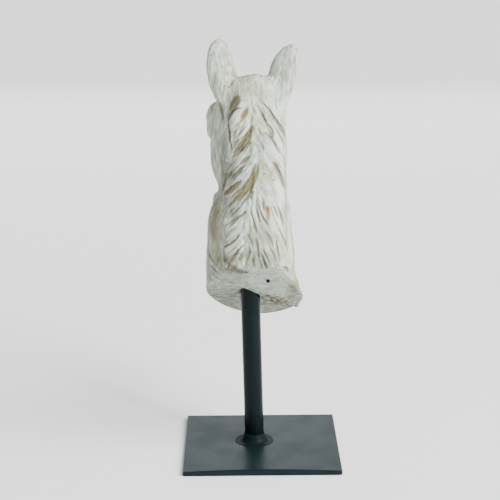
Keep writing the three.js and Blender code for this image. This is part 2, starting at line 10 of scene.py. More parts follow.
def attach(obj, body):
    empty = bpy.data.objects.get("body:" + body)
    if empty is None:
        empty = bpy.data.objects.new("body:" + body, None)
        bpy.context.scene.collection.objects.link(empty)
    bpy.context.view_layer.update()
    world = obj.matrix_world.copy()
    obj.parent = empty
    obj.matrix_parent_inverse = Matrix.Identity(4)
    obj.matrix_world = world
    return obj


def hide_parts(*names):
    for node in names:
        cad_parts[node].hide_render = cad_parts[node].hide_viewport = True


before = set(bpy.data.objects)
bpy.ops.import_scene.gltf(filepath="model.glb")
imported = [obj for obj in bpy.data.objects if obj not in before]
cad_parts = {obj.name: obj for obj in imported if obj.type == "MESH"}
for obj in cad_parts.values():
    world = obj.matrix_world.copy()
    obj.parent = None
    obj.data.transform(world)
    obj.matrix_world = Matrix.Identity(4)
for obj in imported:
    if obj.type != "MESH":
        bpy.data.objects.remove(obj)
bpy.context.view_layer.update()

# ---- sizes, in millimetres and degrees
# The carved form repeats the part's own numbers: the horse faces -Y and its left is +X.
PLATE = dict(side=150.0, edge=3.7, crown=2.2, corner=1.5, bevel=0.7)
POST = dict(radius=9.3, x=6.6, y=-3.2, lean=1.24, top=231.7, foot_bevel=0.4, top_bevel=0.6)
WELD = dict(gap=0.05, lip=0.35, reach=9.4, height=8.6, edge=0.25)
SOCKET = dict(radius=10.5, top=232.0)
DRILL = dict(radius=1.5, place=(-6.3, 34.9, 178.5), depth=7.0, tilt=14, rim=0.6)
# The part of the cut face that hangs lower, right of the post: x, y of its broken edge, and its drop.
LEDGE = [(-60, -66, 0), (-37, -45, 1.0), (-24, -29, 3.0), (-14, -19, 5.7), (-1.3, -5, 5.6),
         (4, 4, 4.8), (10, 8.2, 3.3), (22, 13, 0.0), (60, 20, 0)]
LEDGE_X, LEDGE_Y, LEDGE_DROP = zip(*LEDGE)
POLL = (7.5, -13.0, 346.5)
PITCH, TURN, ROLL = 52.0, 6.0, 3.5
NECK = [  # height, then reach to the back, front, left and right
    (90, 60, 78, 46, 66), (130, 59, 74, 51, 53), (150, 58, 71, 52.5, 42.5), (170, 57, 67, 52.5, 34.5),
    (205, 54, 60, 51, 31.5), (236, 48, 53, 48.5, 28.5), (258, 43, 49, 39, 25.5), (290, 33, 46, 33, 21.5),
    (315, 20, 45, 30, 19.5), (340, 2, 44, 26, 16)]
NECK_TOP = 350.0
CUT = dict(height=159.0, back=0.6167, left=0.03)
MANE = dict(x=6.0, lift=5.0, top=350.0, narrow=13.0, wide=29.0, widens_at=345, widens_over=50)
EARS = [dict(foot=(28.5, -14, 334), tip=(38.8, -20, 398.0), width=14.6, thick=7.5, face=28, belly=2.0),
        dict(foot=(-15, -14, 331), tip=(-32.4, -18, 392.5), width=13.8, thick=7.5, face=-28, belly=3.2)]
CROWN = ((19, -13, 351.4), (4, -13, 354.8), (-6, -13, 352.1))  # the ridge between the ears
CROWN_RADIUS = 11.0
# Knife and gouge cuts on the back: x and z of start, middle and end, half width, depth, tan, orange, dark;
# dark is a painted shade along the bottom of the cut.
CUTS = [
    (19.6, 346.8, 23.6, 341, 27, 333.8, 3.8, 2.2, 0.9, 0, 0.5),
    (16.3, 337.7, 24.7, 333.2, 29.5, 324.6, 1.4, 1.7, 0.5, 0, 1),
    (11.6, 336.9, 14.9, 331.8, 18.3, 325.2, 2.8, 1.6, 0.8, 0.7, 0.4),
    (29.5, 324.6, 28.6, 312, 26.8, 298.4, 1.3, 1.3, 0.5, 0, 0.6),
    (14.6, 320.5, 18.4, 316, 23, 310.6, 1, 0.9, 0.2, 0, 0.5),
    (18.4, 311.9, 22.1, 308.2, 24.9, 303.8, 1, 0.9, 0.2, 0, 0.5),
    (7.2, 322.3, 13.4, 311, 25, 298.6, 3.9, 2.8, 1, 0.15, 0.8),
    (9.2, 308.8, 15.7, 302.5, 26.9, 294, 1.3, 1.3, 0.6, 0, 0.7),
    (10.3, 296.7, 14.9, 293.1, 19.5, 288.4, 1.5, 1.4, 0.6, 0.4, 0.3),
    (12.2, 289.1, 20.5, 283.3, 29.8, 272.5, 1.2, 1.2, 0.2, 0, 0.6),
    (18.6, 288.5, 25.1, 283.6, 31.6, 274.7, 1, 0.9, 0.1, 0, 0.4),
    (4.6, 290.3, 10.2, 273.4, 26.4, 255.8, 4.4, 3, 1, 0.15, 0.8),
    (15.1, 265.8, 22.5, 259.1, 30.9, 249.8, 1.5, 1.6, 0.7, 0, 0.7),
    (17.8, 275.4, 25, 268, 33.2, 260.9, 2.8, 2.4, 0.95, 0.2, 0.6),
    (16, 269.5, 21.6, 265, 28, 258.9, 1, 1, 0.5, 0, 0.5),
    (6, 266.7, 7.9, 263.2, 9.7, 258.7, 1, 1, 0.5, 0, 0.2),
    (14.4, 247.5, 21.8, 240.7, 31, 231.3, 1.2, 1.5, 0.4, 0, 0.9),
    (16.2, 253.9, 22.6, 248.2, 29.1, 242.2, 1, 0.9, 0.1, 0, 0.4),
    (20.9, 235.9, 25.5, 231.1, 29.2, 227.1, 1, 0.9, 0.1, 0, 0.4),
    (20, 228.2, 23.8, 221.7, 34.9, 213.7, 1.8, 1.9, 0.7, 0, 0.7),
    (15.5, 218.7, 22, 211.9, 27.6, 203.5, 1.2, 1.6, 0.5, 0.3, 0.8),
    (24, 208, 26.5, 204.5, 29.2, 200.2, 2.4, 1.5, 0.85, 0.4, 0.6),
    (34.6, 207, 29.6, 197.6, 13.6, 191.4, 2.6, 1.6, 0.45, 0, 0.5),
    (3.4, 340.2, -1.6, 329.7, -7.5, 319.1, 2, 2, 0.4, 0, 1),
    (-2.2, 341.3, -12.3, 328.5, -23.5, 308, 1.8, 1.9, 0.2, 0, 0.9),
    (-5.7, 323.6, -9.3, 318.2, -11.2, 311.4, 2.6, 1.8, 0.8, 0, 0.8),
    (-1.9, 316.6, -9.2, 311, -16.9, 297.7, 1.9, 1.9, 0.35, 0, 0.9),
    (2.7, 320.6, 0.9, 317.3, 0, 314, 0.9, 0.8, 0, 0, 0.6),
    (-10.7, 291.8, -15.6, 282, -21.3, 266.8, 2.4, 1.9, 0.85, 0.5, 0.5),
    (10.7, 253.3, 8, 241.8, 4.5, 228.5, 1.3, 1.4, 0.1, 0, 0.7),
    (6.1, 254.3, 3.4, 245.4, 1.7, 234.8, 1.1, 1.1, 0.1, 0, 0.5),
    (2.5, 255.3, -0.2, 245.2, -6.6, 236.3, 1.2, 1.1, 0.2, 0, 0.6),
    (-3.9, 252.7, -5.7, 246.9, -5.7, 240.7, 2.4, 1.3, 0.4, 1, 0.1),
    (-10.3, 253.4, -13.1, 247.3, -15.9, 240.6, 1, 0.9, 0, 0, 0.5),
    (-14, 253, -17.7, 244.2, -20.5, 234.2, 1, 0.9, 0, 0, 0.4),
    (-14.8, 233.3, -18.5, 225.5, -22.3, 212.8, 1.1, 1, 0.2, 0, 0.4),
    (-3.7, 231.3, -7.4, 224.6, -10, 217.7, 1.1, 1.1, 0.1, 0, 0.6),
    (13.6, 229.1, 10, 222, 8.3, 213.1, 1, 0.9, 0, 0, 0.5),
    (5.4, 225.8, 3.7, 215.1, 2.9, 202.4, 1.1, 1.1, 0.1, 0, 0.5),
    (-0.9, 215.2, -4.5, 207.9, -8.1, 198.8, 1.1, 1.1, 0.1, 0, 0.6),
    (10.1, 213.1, 12.9, 205.7, 14.8, 198.3, 1, 0.9, 0, 0, 0.4),
    (-12.9, 223.7, -14.6, 212.7, -17.4, 201.4, 1, 0.9, 0.1, 0, 0.4),
    (-19.2, 197.3, -22.2, 192.8, -25.4, 186.9, 1.9, 1.3, 0.5, 0, 0.4),
    (6.5, 286, 15, 270.5, 27.5, 258.5, 1.1, 0.9, 0.6, 0, 0.9),
    (33.6, 204, 26.5, 195.8, 14.4, 191.6, 2.6, 1.6, 0.6, 0, 0.8),
    (-6, 330, -14, 319, -21.5, 303, 1.1, 1, 0.1, 0, 0.7),
    (2.8, 340.6, -2.6, 329.6, -8.6, 319.4, 1.1, 1.2, 0.3, 0, 1),
    (-3.2, 341.4, -13.2, 328.2, -24.4, 308.2, 1.1, 1.2, 0.2, 0, 1),
    (-2.8, 316.2, -10.2, 310.2, -17.9, 297.4, 1.1, 1.2, 0.3, 0, 1),
    (3.8, 279, 9.6, 265.5, 17, 254, 1.3, 1.2, 0.7, 0, 0.8),
    (9.5, 316, 16.5, 305, 25.5, 296.8, 1, 0.9, 0.6, 0, 0.8),
    (49.5, 192.4, 43.6, 189.1, 37, 184.3, 1.3, 1, 0.4, 0, 0.6),
    (47.6, 186.4, 41.8, 181.7, 34.5, 175, 1.2, 0.9, 0.3, 0, 0.5),
    (49.1, 179.6, 44.9, 174.6, 38.5, 167.9, 1.1, 0.7, 0.2, 0, 0.4),
    (50.2, 203, 45.8, 197.5, 40.5, 193, 1.1, 0.8, 0.5, 0, 0.5),
    (32.6, 176.8, 28, 172.5, 22.3, 168.1, 1.1, 0.9, 0.1, 0, 0.6),
    (29.7, 182, 24.1, 178.6, 18.5, 175.6, 1, 0.7, 0.1, 0, 0.4),
    (39.7, 343.6, 36, 332.7, 33.2, 322.2, 1.5, 1.3, 0.4, 0, 0.9),
    (30.6, 361.7, 33.4, 352.3, 35.2, 344.7, 1.1, 0.9, 0.3, 0, 0.5),
    (22.6, 361.7, 26.4, 357.3, 30.2, 352.7, 1.1, 0.9, 0.1, 0, 0.6),
    (0.1, 209.7, -1.7, 202.5, -6.4, 190.8, 2, 1.4, 0.1, 0, 0.7),
    (1.9, 206.1, 1, 200.5, -0.8, 195.1, 1.3, 1, 0.1, 0, 0.5),
    (21.4, 286.8, 27, 280, 32.6, 270, 1.1, 0.9, 0.1, 0, 0.6),
    (15.9, 284.7, 22.4, 278.1, 27, 270.4, 1, 0.9, 0.1, 0, 0.5),
    (26, 288.9, 29.7, 283.9, 32.6, 277, 1, 0.8, 0.1, 0, 0.5),
    (31.6, 281.7, 32.6, 272.6, 34.6, 262.7, 1.4, 1, 0.5, 0, 0.7),
    (22.6, 251.7, 29.1, 245.7, 31.9, 239.2, 1.1, 0.8, 0, 0, 0.5),
    (19, 245.8, 25.4, 239.9, 30.1, 235, 1, 0.8, 0, 0, 0.4),
    (25.5, 233.7, 29.2, 228, 33, 222, 1.1, 0.8, 0.1, 0, 0.5),
    (13.4, 261.2, 16.1, 256.6, 18.9, 251.8, 1.1, 0.8, 0.1, 0, 0.5),
    (-1.2, 261.6, -2.1, 255.4, -1.1, 249.2, 1, 0.8, 0.1, 0, 0.4),
    (3.3, 262.4, 4.3, 255.3, 3.4, 249, 1, 0.8, 0.2, 0, 0.5),
    (-7.3, 216.1, -10.9, 209.6, -12.7, 202.1, 1, 0.8, 0.1, 0, 0.5),
    (-17.6, 228, -21.4, 219.8, -24.4, 206.1, 1, 0.8, 0.1, 0, 0.4),
    (16.5, 212.8, 19.3, 206.3, 18.4, 199.9, 1, 0.8, 0.1, 0, 0.4),
    (6.4, 213.2, 7.4, 205.9, 8.4, 198.3, 1.1, 0.8, 0.1, 0, 0.5),
    (-5.8, 333.3, -10.4, 327.9, -14.1, 322.5, 1.1, 0.9, 0.1, 0, 0.5),
    (1, 309.8, -1.7, 303.9, -1.6, 299.7, 0.9, 0.7, 0, 0, 0.4),
    (12.3, 277.1, 16, 272.5, 18.8, 266.9, 0.9, 0.7, 0.2, 0, 0.5)]
CELL = 1.56  # of the grid that the carving is worked out on, between the two corners below
HEAD_LOW, HEAD_HIGH = (-58, -140, 100), (60, 74, 404)
RAD = math.pi / 180.0
MM = 0.001
F = np.float32
CORNERS = list(itertools.product((0, 1), repeat=3))
PRIMES = (374761393, 668265263, 2147483647, 1274126177)
WORD = 0xFFFFFFFF


# ---- field tools
def ease(t):
    t = np.clip(t, 0, 1)
    return t * t * (3 - 2 * t)


def join(a, b, k):
    """Two forms as one, with a fillet k. Distances are negative inside."""
    h = np.clip(0.5 + 0.5 * (b - a) / k, 0, 1)
    return b + (a - b) * h - k * h * (1 - h)


def carve(a, tool, k):
    return -join(-a, tool, k)


def ellipsoid(p, c, r):
    q = (p - np.array(c, F)) / np.array(r, F)
    k0 = np.sqrt((q * q).sum(-1)) + 1e-6
    q = q / np.array(r, F)
    return k0 * (k0 - 1) / (np.sqrt((q * q).sum(-1)) + 1e-6)


def bar(p, a, b, ra, rb):
    """A round bar from a to b that tapers from one radius to the other."""
    a, b = np.array(a, F), np.array(b, F)
    d = b - a
    t = np.clip(((p - a) @ d) / (d @ d), 0, 1)
    e = p - (a + t[..., None] * d)
    return np.sqrt((e * e).sum(-1)) - (ra + (rb - ra) * t)


def turned(u, v, degrees):
    c, s = F(math.cos(degrees * RAD)), F(math.sin(degrees * RAD))
    return c * u + s * v, c * v - s * u


def lattice(i, j, k, seed):
    """A repeatable number from 0 to 1 at each whole point."""
    h = (i * PRIMES[0] + j * PRIMES[1] + k * PRIMES[2] + seed * PRIMES[3]) & WORD
    h = ((h ^ (h >> 13)) * PRIMES[3]) & WORD
    return ((h ^ (h >> 16)) & 0xFFFF).astype(F) / 65535.0


def noise(x, y, z, seed=0):
    """Smooth value noise from -1 to 1 with features one unit across."""
    fx, fy, fz = np.floor(x), np.floor(y), np.floor(z)
    i, j, k = fx.astype(np.int64), fy.astype(np.int64), fz.astype(np.int64)
    u, v, w = ease(x - fx), ease(y - fy), ease(z - fz)
    total = 0
    for a, b, c in CORNERS:
        weight = (u if a else 1 - u) * (v if b else 1 - v) * (w if c else 1 - w)
        total = total + weight * lattice(i + a, j + b, k + c, seed)
    return 2 * total - 1


def mottle(p, size, seed):
    """Noise at each point, with features of the given size along x, y and z."""
    return noise(p[:, 0] / size[0], p[:, 1] / size[1], p[:, 2] / size[2], seed)


def through(column, z):
    """Smooth curve through one column of the neck sections."""
    xs = np.array([row[0] for row in NECK], float)
    ys = np.array([row[column] for row in NECK], float)
    m = np.gradient(ys, xs)
    z = np.clip(z, xs[0], xs[-1])
    i = np.clip(np.searchsorted(xs, z) - 1, 0, len(xs) - 2)
    h = xs[i + 1] - xs[i]
    t = (z - xs[i]) / h
    s = t * t * (3 - 2 * t)
    run = (t ** 3 - 2 * t * t + t) * h * m[i] + (t ** 3 - t * t) * h * m[i + 1]
    return (ys[i] * (1 - s) + ys[i + 1] * s + run).astype(F)


# ---- the carved form
def neck(p):
    """Rounded level sections, the front of each drawn in to a keel low down."""
    x, y, z = p[:, 0], p[:, 1], p[:, 2]
    left, rear = ease((x + 18) / 36), ease((y + 18) / 36)
    rx = through(4, z) * (1 - left) + through(3, z) * left
    ry = through(2, z) * (1 - rear) + through(1, z) * rear
    n = 2.25 - ease((235 - z) / 90) * ease(-y / 30) * (0.65 - 0.35 * left)
    k = ((np.abs(x) / rx) ** n + (np.abs(y) / ry) ** n + 1e-9) ** (1 / n)
    return carve((k - 1) * np.minimum(rx, ry) * 1.15, NECK_TOP - z, 22)


def on_face(p):
    """Along the face from the poll, up from its axis, and to its left."""
    across, up = turned(p[:, 0] - POLL[0], p[:, 2] - POLL[2], ROLL)
    c, y = turned(across, p[:, 1] - POLL[1], TURN)
    f, g = F(math.cos(PITCH * RAD)), F(math.sin(PITCH * RAD))
    wider = 1 - 0.06 * ease(-c / 12)  # the right half is carved a little wider
    return np.stack([-f * y - g * up, f * up - g * y, c * wider], -1)


def skull(h):
    """Rounds and bars joined along the face, then hollows. Those on s are on both sides."""
    s = h.copy()
    s[:, 2] = np.abs(s[:, 2])
    d = ellipsoid(h, (30, 1, 0), (44, 30, 32.5))
    d = join(d, bar(h, (48, 2, 0), (124, 0, 0), 30, 18), 12)
    d = join(d, bar(s, (54, 20, 6), (150, 13, 3), 10, 8.5), 9)
    d = join(d, ellipsoid(h, (158, -3, 0), (28, 21, 20)), 12)
    d = join(d, ellipsoid(h, (176, -5, 0), (12, 14, 15)), 6)
    d = join(d, ellipsoid(h, (166, -20, 0), (13, 8.5, 12)), 3.5)
    d = join(d, ellipsoid(h, (155, -24, 0), (10, 8, 9.5)), 6)
    d = join(d, bar(s, (62, -34, 12), (148, -17, 5), 14, 9), 9)
    d = join(d, ellipsoid(s, (50, -25, 17.5), (40, 36, 17)), 9)
    d = join(d, ellipsoid(s, (46, 13, 25.5), (20, 12, 12.5)), 9)
    d = join(d, bar(s, (68, -5, 25.5), (110, -9, 16.5), 5.5, 3), 9)
    d = carve(d, ellipsoid(s, (27, 25, 29), (10, 8, 6.5)), 6)
    d = carve(d, ellipsoid(s, (59, 4, 42), (13, 9, 7)), 5)
    d = carve(d, ellipsoid(s, (120, 3, 24), (28, 8, 6.5)), 8)
    return mouth(nostril(eye(d, s), s), h)


def eye(d, s):
    """An eyeball behind lids that part in an almond."""
    u, v = turned(s[:, 0] - 57, s[:, 1] - 6.5, -12)
    ball = np.sqrt(u * u + v * v + (s[:, 2] - 28) ** 2)
    almond = np.maximum(np.hypot(u, v + 6), np.hypot(u, v - 6)) - 11
    lids = carve(ball - 10.2, almond, 0.8)
    return join(join(d, lids, 2.5), ball - 8.8, 0.8)


def nostril(d, s):
    u, v = turned(s[:, 0] - 167, s[:, 1] - 3, -40)
    q = np.stack([u, v, s[:, 2]], -1)
    rim = join(d, ellipsoid(q, (0, 0, 14.5), (12, 8.5, 7.5)), 4)
    return carve(rim, ellipsoid(q, (0.5, 0, 21.5), (8, 4, 7)), 2)


def mouth(d, h):
    line = np.abs(h[:, 1] + 12 + 0.06 * (h[:, 0] - 165)) - 1.3
    return carve(d, np.maximum(np.maximum(line, 146 - h[:, 0]), -(d + 3.0)), 1.4)


def ear(p, foot, tip, width, thick, face, belly):
    foot, tip = np.array(foot, F), np.array(tip, F)
    long = float(np.linalg.norm(tip - foot))
    up = (tip - foot) / long
    ahead = np.array([math.sin(face * RAD), -math.cos(face * RAD), 0], F)
    out = ahead - (ahead @ up) * up
    out /= np.linalg.norm(out)
    side = np.cross(up, out)
    e = (p - foot) @ np.stack([side, out, up], -1).astype(F)
    share = np.clip(e[:, 2] / long, 0, 1)
    e[:, 0] -= belly * 4 * share * (1 - share)
    leaf = ellipsoid(e, (0, 0, 0.52 * long), (width, thick, 0.48 * long))
    root = bar(e, (0, 0, -4), (0, 0, 0.35 * long), 9, 0.75 * width)
    hollow = ellipsoid(e, (0, 1.15 * thick, 0.5 * long), (0.72 * width, 1.1 * thick, 0.4 * long))
    return carve(join(leaf, root, 6), hollow, 1.5)


def under_cut(p):
    """Distance below the saw cut, part of which broke off lower."""
    x, y, flat = p[:, 0], p[:, 1], p[:, 0] * 0
    rough = 1.2 * noise(x / 3.2, y / 3.2, flat, 41) + 0.8 * noise(x / 1.7, y / 1.7, flat, 42)
    behind = y - np.interp(x, LEDGE_X, LEDGE_Y) + rough * ease((2 - x) / 6)
    drop = np.interp(x, LEDGE_X, LEDGE_DROP) * ease(behind / 2.2 + 0.5) * ease((50 - y) / 40)
    n = np.array([CUT["left"], CUT["back"], -1.0])
    n = (n / np.linalg.norm(n)).astype(F)
    return x * n[0] + y * n[1] + (p[:, 2] - CUT["height"] + drop) * n[2]


def near_break(p):
    """Shares of the broken edge, of the chipped corner, and of the cut face ahead of that edge."""
    x, y, z = p[:, 0], p[:, 1], p[:, 2]
    behind = y - np.interp(x, LEDGE_X, LEDGE_Y)
    edge = ease(1.7 - np.abs(behind - 0.5) / 10) * ease((4 - x) / 4) * ease((x + 44) / 8)
    corner = ease((-20 - x) / 8) * ease((184 - z) / 14) * ease((z - 132) / 8)
    return edge, 0.45 * corner, ease(-behind / 4) * ease((2 - x) / 6)


def mane_half(z):
    """Half width of the mane, which widens below the ears."""
    low = np.clip((MANE["widens_at"] - z) / MANE["widens_over"], 0, 1)
    return MANE["narrow"] + (MANE["wide"] - MANE["narrow"]) * low ** 0.6


def mane(p, plain):
    """The neck's own form, raised over the mane's width on the back."""
    x, y, z = p[:, 0], p[:, 1], p[:, 2]
    lift = MANE["lift"] * ease((352 - z) / 50)
    d = carve(plain - lift, mane_half(z) - np.abs(x - MANE["x"]), 5)
    d = carve(d, y + 2, 6)
    return carve(d, MANE["top"] - z, 14)


def cut_curve(row):
    """A cut as a smooth run of points through its start, middle and end, its half width and upper side."""
    x0, z0, x1, z1, x2, z2, width = row
    t = np.linspace(0, 1, 9)
    cx, cz = 2 * x1 - (x0 + x2) / 2, 2 * z1 - (z0 + z2) / 2
    px = (1 - t) ** 2 * x0 + 2 * t * (1 - t) * cx + t * t * x2
    pz = (1 - t) ** 2 * z0 + 2 * t * (1 - t) * cz + t * t * z2
    return px, pz, width, math.copysign(1.0, x0 - x2)


CUT_CURVES = [(cut_curve(row[:7]), row[7:]) for row in CUTS]


def near_cut(x, z, curve):
    """Place across a cut, from 0 on its line to 1 at its edge, the same above 0 uphill, and along it."""
    px, pz, width, upper = curve
    best = np.full(x.shape, 9.0, F)
    signed, along = best.copy(), np.zeros(x.shape, F)
    for i in range(len(px) - 1):
        dx, dz = px[i + 1] - px[i], pz[i + 1] - pz[i]
        t = np.clip(((x - px[i]) * dx + (z - pz[i]) * dz) / (dx * dx + dz * dz), 0, 1)
        whole = (i + t) / (len(px) - 1)
        spread = width * np.sqrt(np.maximum(4 * whole * (1 - whole), 0.06))
        ex, ez = x - px[i] - t * dx, z - pz[i] - t * dz
        far = np.hypot(ex, ez) / spread
        closer = far < best
        best = np.where(closer, far, best)
        signed = np.where(closer, far * np.sign(ex * dz - ez * dx) * upper, signed)
        along = np.where(closer, whole, along)
    return best, signed, along


def beside(p, curve, margin):
    """Points of the back that lie near a cut."""
    px, pz = curve[:2]
    m = (p[:, 0] > px.min() - margin) & (p[:, 0] < px.max() + margin) & (p[:, 1] > -12)
    return m & (p[:, 2] > pz.min() - margin) & (p[:, 2] < pz.max() + margin)


def cut_depth(p):
    """Each cut is a leaning V, steep on its upper side, that dies away at both ends."""
    side, lip = 1.25, 0.35
    deepest = np.zeros(len(p), F)
    for curve, (depth, _, _, _) in CUT_CURVES:
        m = beside(p, curve, curve[2] * 1.5)
        if m.any():
            across, signed, along = near_cut(p[m, 0], p[m, 2], curve)
            vee = np.minimum((signed + side) / (side + lip), (side - signed) / (side - lip))
            ends = np.sqrt(np.clip(4 * along * (1 - along), 0, 1)) * (across < 2)
            deepest[m] = np.maximum(deepest[m], depth * ends * ease(vee))
    return deepest


def socket(p):
    lean = F(math.tan(POST["lean"] * RAD))
    d = np.hypot(p[:, 0] - POST["x"] - lean * p[:, 2], p[:, 1] - POST["y"]) - SOCKET["radius"]
    return np.maximum(d, p[:, 2] - SOCKET["top"])


def horse(p):
    p = p.astype(F)
    plain = neck(p)
    d = join(plain, skull(on_face(p)), 9)
    crown = [bar(p, a, b, CROWN_RADIUS, CROWN_RADIUS) for a, b in zip(CROWN, CROWN[1:])]
    d = join(d, np.minimum(*crown), 6)
    for shape in EARS:
        d = join(d, ear(p, **shape), 5)
    d = join(d, mane(p, plain), 3) + cut_depth(p)
    d = carve(d, -under_cut(p), 3 + 4 * ease((p[:, 1] - 20) / 20))
    return carve(d, socket(p), 0.8)


# ---- field to mesh
def sampled(field, low, high, cell):
    """Field on a grid, worked out finely only in the blocks that the surface may cross."""
    block, batch, outside = 4, 250000, 9

    def spread(coarse_values):
        return coarse_values.repeat(block, 0).repeat(block, 1).repeat(block, 2)
    n = [int(math.ceil((high[i] - low[i]) / (cell * block))) for i in range(3)]
    centres = [low[i] + cell * block * (np.arange(n[i]) + 0.5) for i in range(3)]
    grid = np.stack(np.meshgrid(*centres, indexing="ij"), -1).reshape(-1, 3)
    coarse = field(grid).reshape(n)
    size = [block * k + 1 for k in n]
    values = np.full(size, outside, F)
    values[:-1, :-1, :-1] = spread(coarse)
    reach = cell * block * 1.35 + 2.5  # farthest that the surface lies from the middle of a block it crosses
    near = spread(np.abs(coarse) < reach)
    mask = np.zeros(size, bool)
    for a, b, c in CORNERS:
        mask[a:size[0] - 1 + a, b:size[1] - 1 + b, c:size[2] - 1 + c] |= near
    at = np.argwhere(mask)
    found = [field(np.array(low) + at[i:i + batch] * cell) for i in range(0, len(at), batch)]
    values[mask] = np.concatenate(found)
    return values


def unpinch(values, sliver=-0.02):
    """Fills a corner of each grid square whose diagonals disagree."""
    for _ in range(6):
        changed = 0
        for axis in range(3):
            cut = [slice(None)] * 3
            u, v = [k for k in range(3) if k != axis]

            def shifted(a, b):
                cut[u] = slice(a, values.shape[u] - 1 + a)
                cut[v] = slice(b, values.shape[v] - 1 + b)
                return values[tuple(cut)]
            a, b, c, d = shifted(0, 0), shifted(1, 1), shifted(1, 0), shifted(0, 1)
            bad = ((a < 0) == (b < 0)) & ((c < 0) == (d < 0)) & ((a < 0) != (c < 0))
            for first, second in ((a, b), (c, d)):
                m = bad & (first >= 0)
                lower = m & (first < second)
                first[lower] = sliver
                second[m & ~lower] = sliver
            changed += int(bad.sum())
        if not changed:
            break


def moved(places, *steps):
    """Grid places moved by a step along some of the axes."""
    places = places.copy()
    for axis, step in steps:
        places[:, axis] += step
    return places


def cell_points(values, cells):
    """In each cell, the mean of the places where its edges cross the surface."""
    total, hits = np.zeros((len(cells), 3)), np.zeros(len(cells))
    for axis in range(3):
        u, v = [k for k in range(3) if k != axis]
        for du, dv in itertools.product((0, 1), repeat=2):
            start = moved(cells, (u, du), (v, dv))
            end = moved(start, (axis, 1))
            fa, fb = values[tuple(start.T)], values[tuple(end.T)]
            crossed = (fa < 0) != (fb < 0)
            point = start.astype(float)
            point[:, axis] += np.where(crossed, fa / (fa - fb + 1e-12), 0)
            total[crossed] += point[crossed]
            hits[crossed] += 1
    return total / hits[:, None]


def skin(values, low, cell):
    """One point in each cell the surface crosses, and a quad round each grid edge it crosses."""
    n = values.shape
    inside = values < 0
    count = np.zeros([k - 1 for k in n], np.int8)
    for a, b, c in CORNERS:
        count += inside[a:n[0] - 1 + a, b:n[1] - 1 + b, c:n[2] - 1 + c]
    active = (count > 0) & (count < 8)
    cells = np.argwhere(active)
    number = np.full(active.shape, -1, np.int64)
    number[active] = np.arange(len(cells))
    quads = []
    for axis in range(3):
        u, v = (axis + 1) % 3, (axis + 2) % 3
        here, there = [slice(None)] * 3, [slice(None)] * 3
        here[axis], there[axis] = slice(0, n[axis] - 1), slice(1, n[axis])
        edges = np.argwhere(inside[tuple(here)] != inside[tuple(there)])
        solid = inside[tuple(edges.T)]
        corners = ((-1, -1), (0, -1), (0, 0), (-1, 0))
        ring = np.stack([number[tuple(moved(edges, (u, du), (v, dv)).T)] for du, dv in corners], 1)
        ring[~solid] = ring[~solid][:, ::-1]
        quads.append(ring)
    return np.array(low) + cell * cell_points(values, cells), np.concatenate(quads)


def slope(field, points, e=0.3):
    f = field(points)
    g = np.stack([field(points + np.eye(3, dtype=F)[i] * e) - f for i in range(3)], -1) / e
    return f, g


def settled(field, points, rounds=2):
    for _ in range(rounds):
        f, g = slope(field, points)
        step = np.clip(f, -1, 1) / np.maximum((g * g).sum(-1), 0.3)
        points = points - step[:, None] * g
    return points


def unit(g):
    return g / np.maximum(np.linalg.norm(g, axis=-1, keepdims=True), 1e-9)


def refined(points, quads, chosen):
    """Cuts each chosen quad into four, and gives its neighbours the points that fall on their edges."""
    ends = np.stack([quads, np.roll(quads, -1, 1)], -1)
    keys = np.sort(ends, -1)
    keys = keys[..., 0] * len(points) + keys[..., 1]
    split = np.unique(keys[chosen])
    place = np.clip(np.searchsorted(split, keys), 0, len(split) - 1)
    middle = np.where(split[place] == keys, place + len(points), -1)
    halfway = (points[split // len(points)] + points[split % len(points)]) / 2
    centre = np.arange(chosen.sum()) + len(points) + len(split)
    a, b, c, d = quads[chosen].T
    ab, bc, cd, da = middle[chosen].T
    small = [(a, ab, centre, da), (ab, b, bc, centre), (centre, bc, c, cd), (da, centre, cd, d)]
    faces = np.concatenate([np.stack(corner, -1) for corner in small]).tolist()
    plain = ~chosen & (middle < 0).all(1)
    faces += quads[plain].tolist()
    for quad, mids in zip(quads[~chosen & ~plain].tolist(), middle[~chosen & ~plain].tolist()):
        faces.append([v for pair in zip(quad, mids) for v in pair if v >= 0])
    return np.concatenate([points, halfway, points[quads[chosen]].mean(1)]), faces


# ---- carving marks and stains
SPINE = ((190, 10.0), (222, 10.0), (249, 9.0), (267, 5.0), (289, 4.0), (302, 5.7), (326, 7.2), (348, 8.8))
RUNS = (48.0, 34.0, 0.0, -17.0, -34.0)  # directions that the hair takes, in degrees from upright
# Noise that makes the strands of the mane: width, length and seed.
LOCKS, BROAD, THIN = (9.0, 34.0, 10), (6.0, 26.0, 20), (3.2, 15.0, 30)
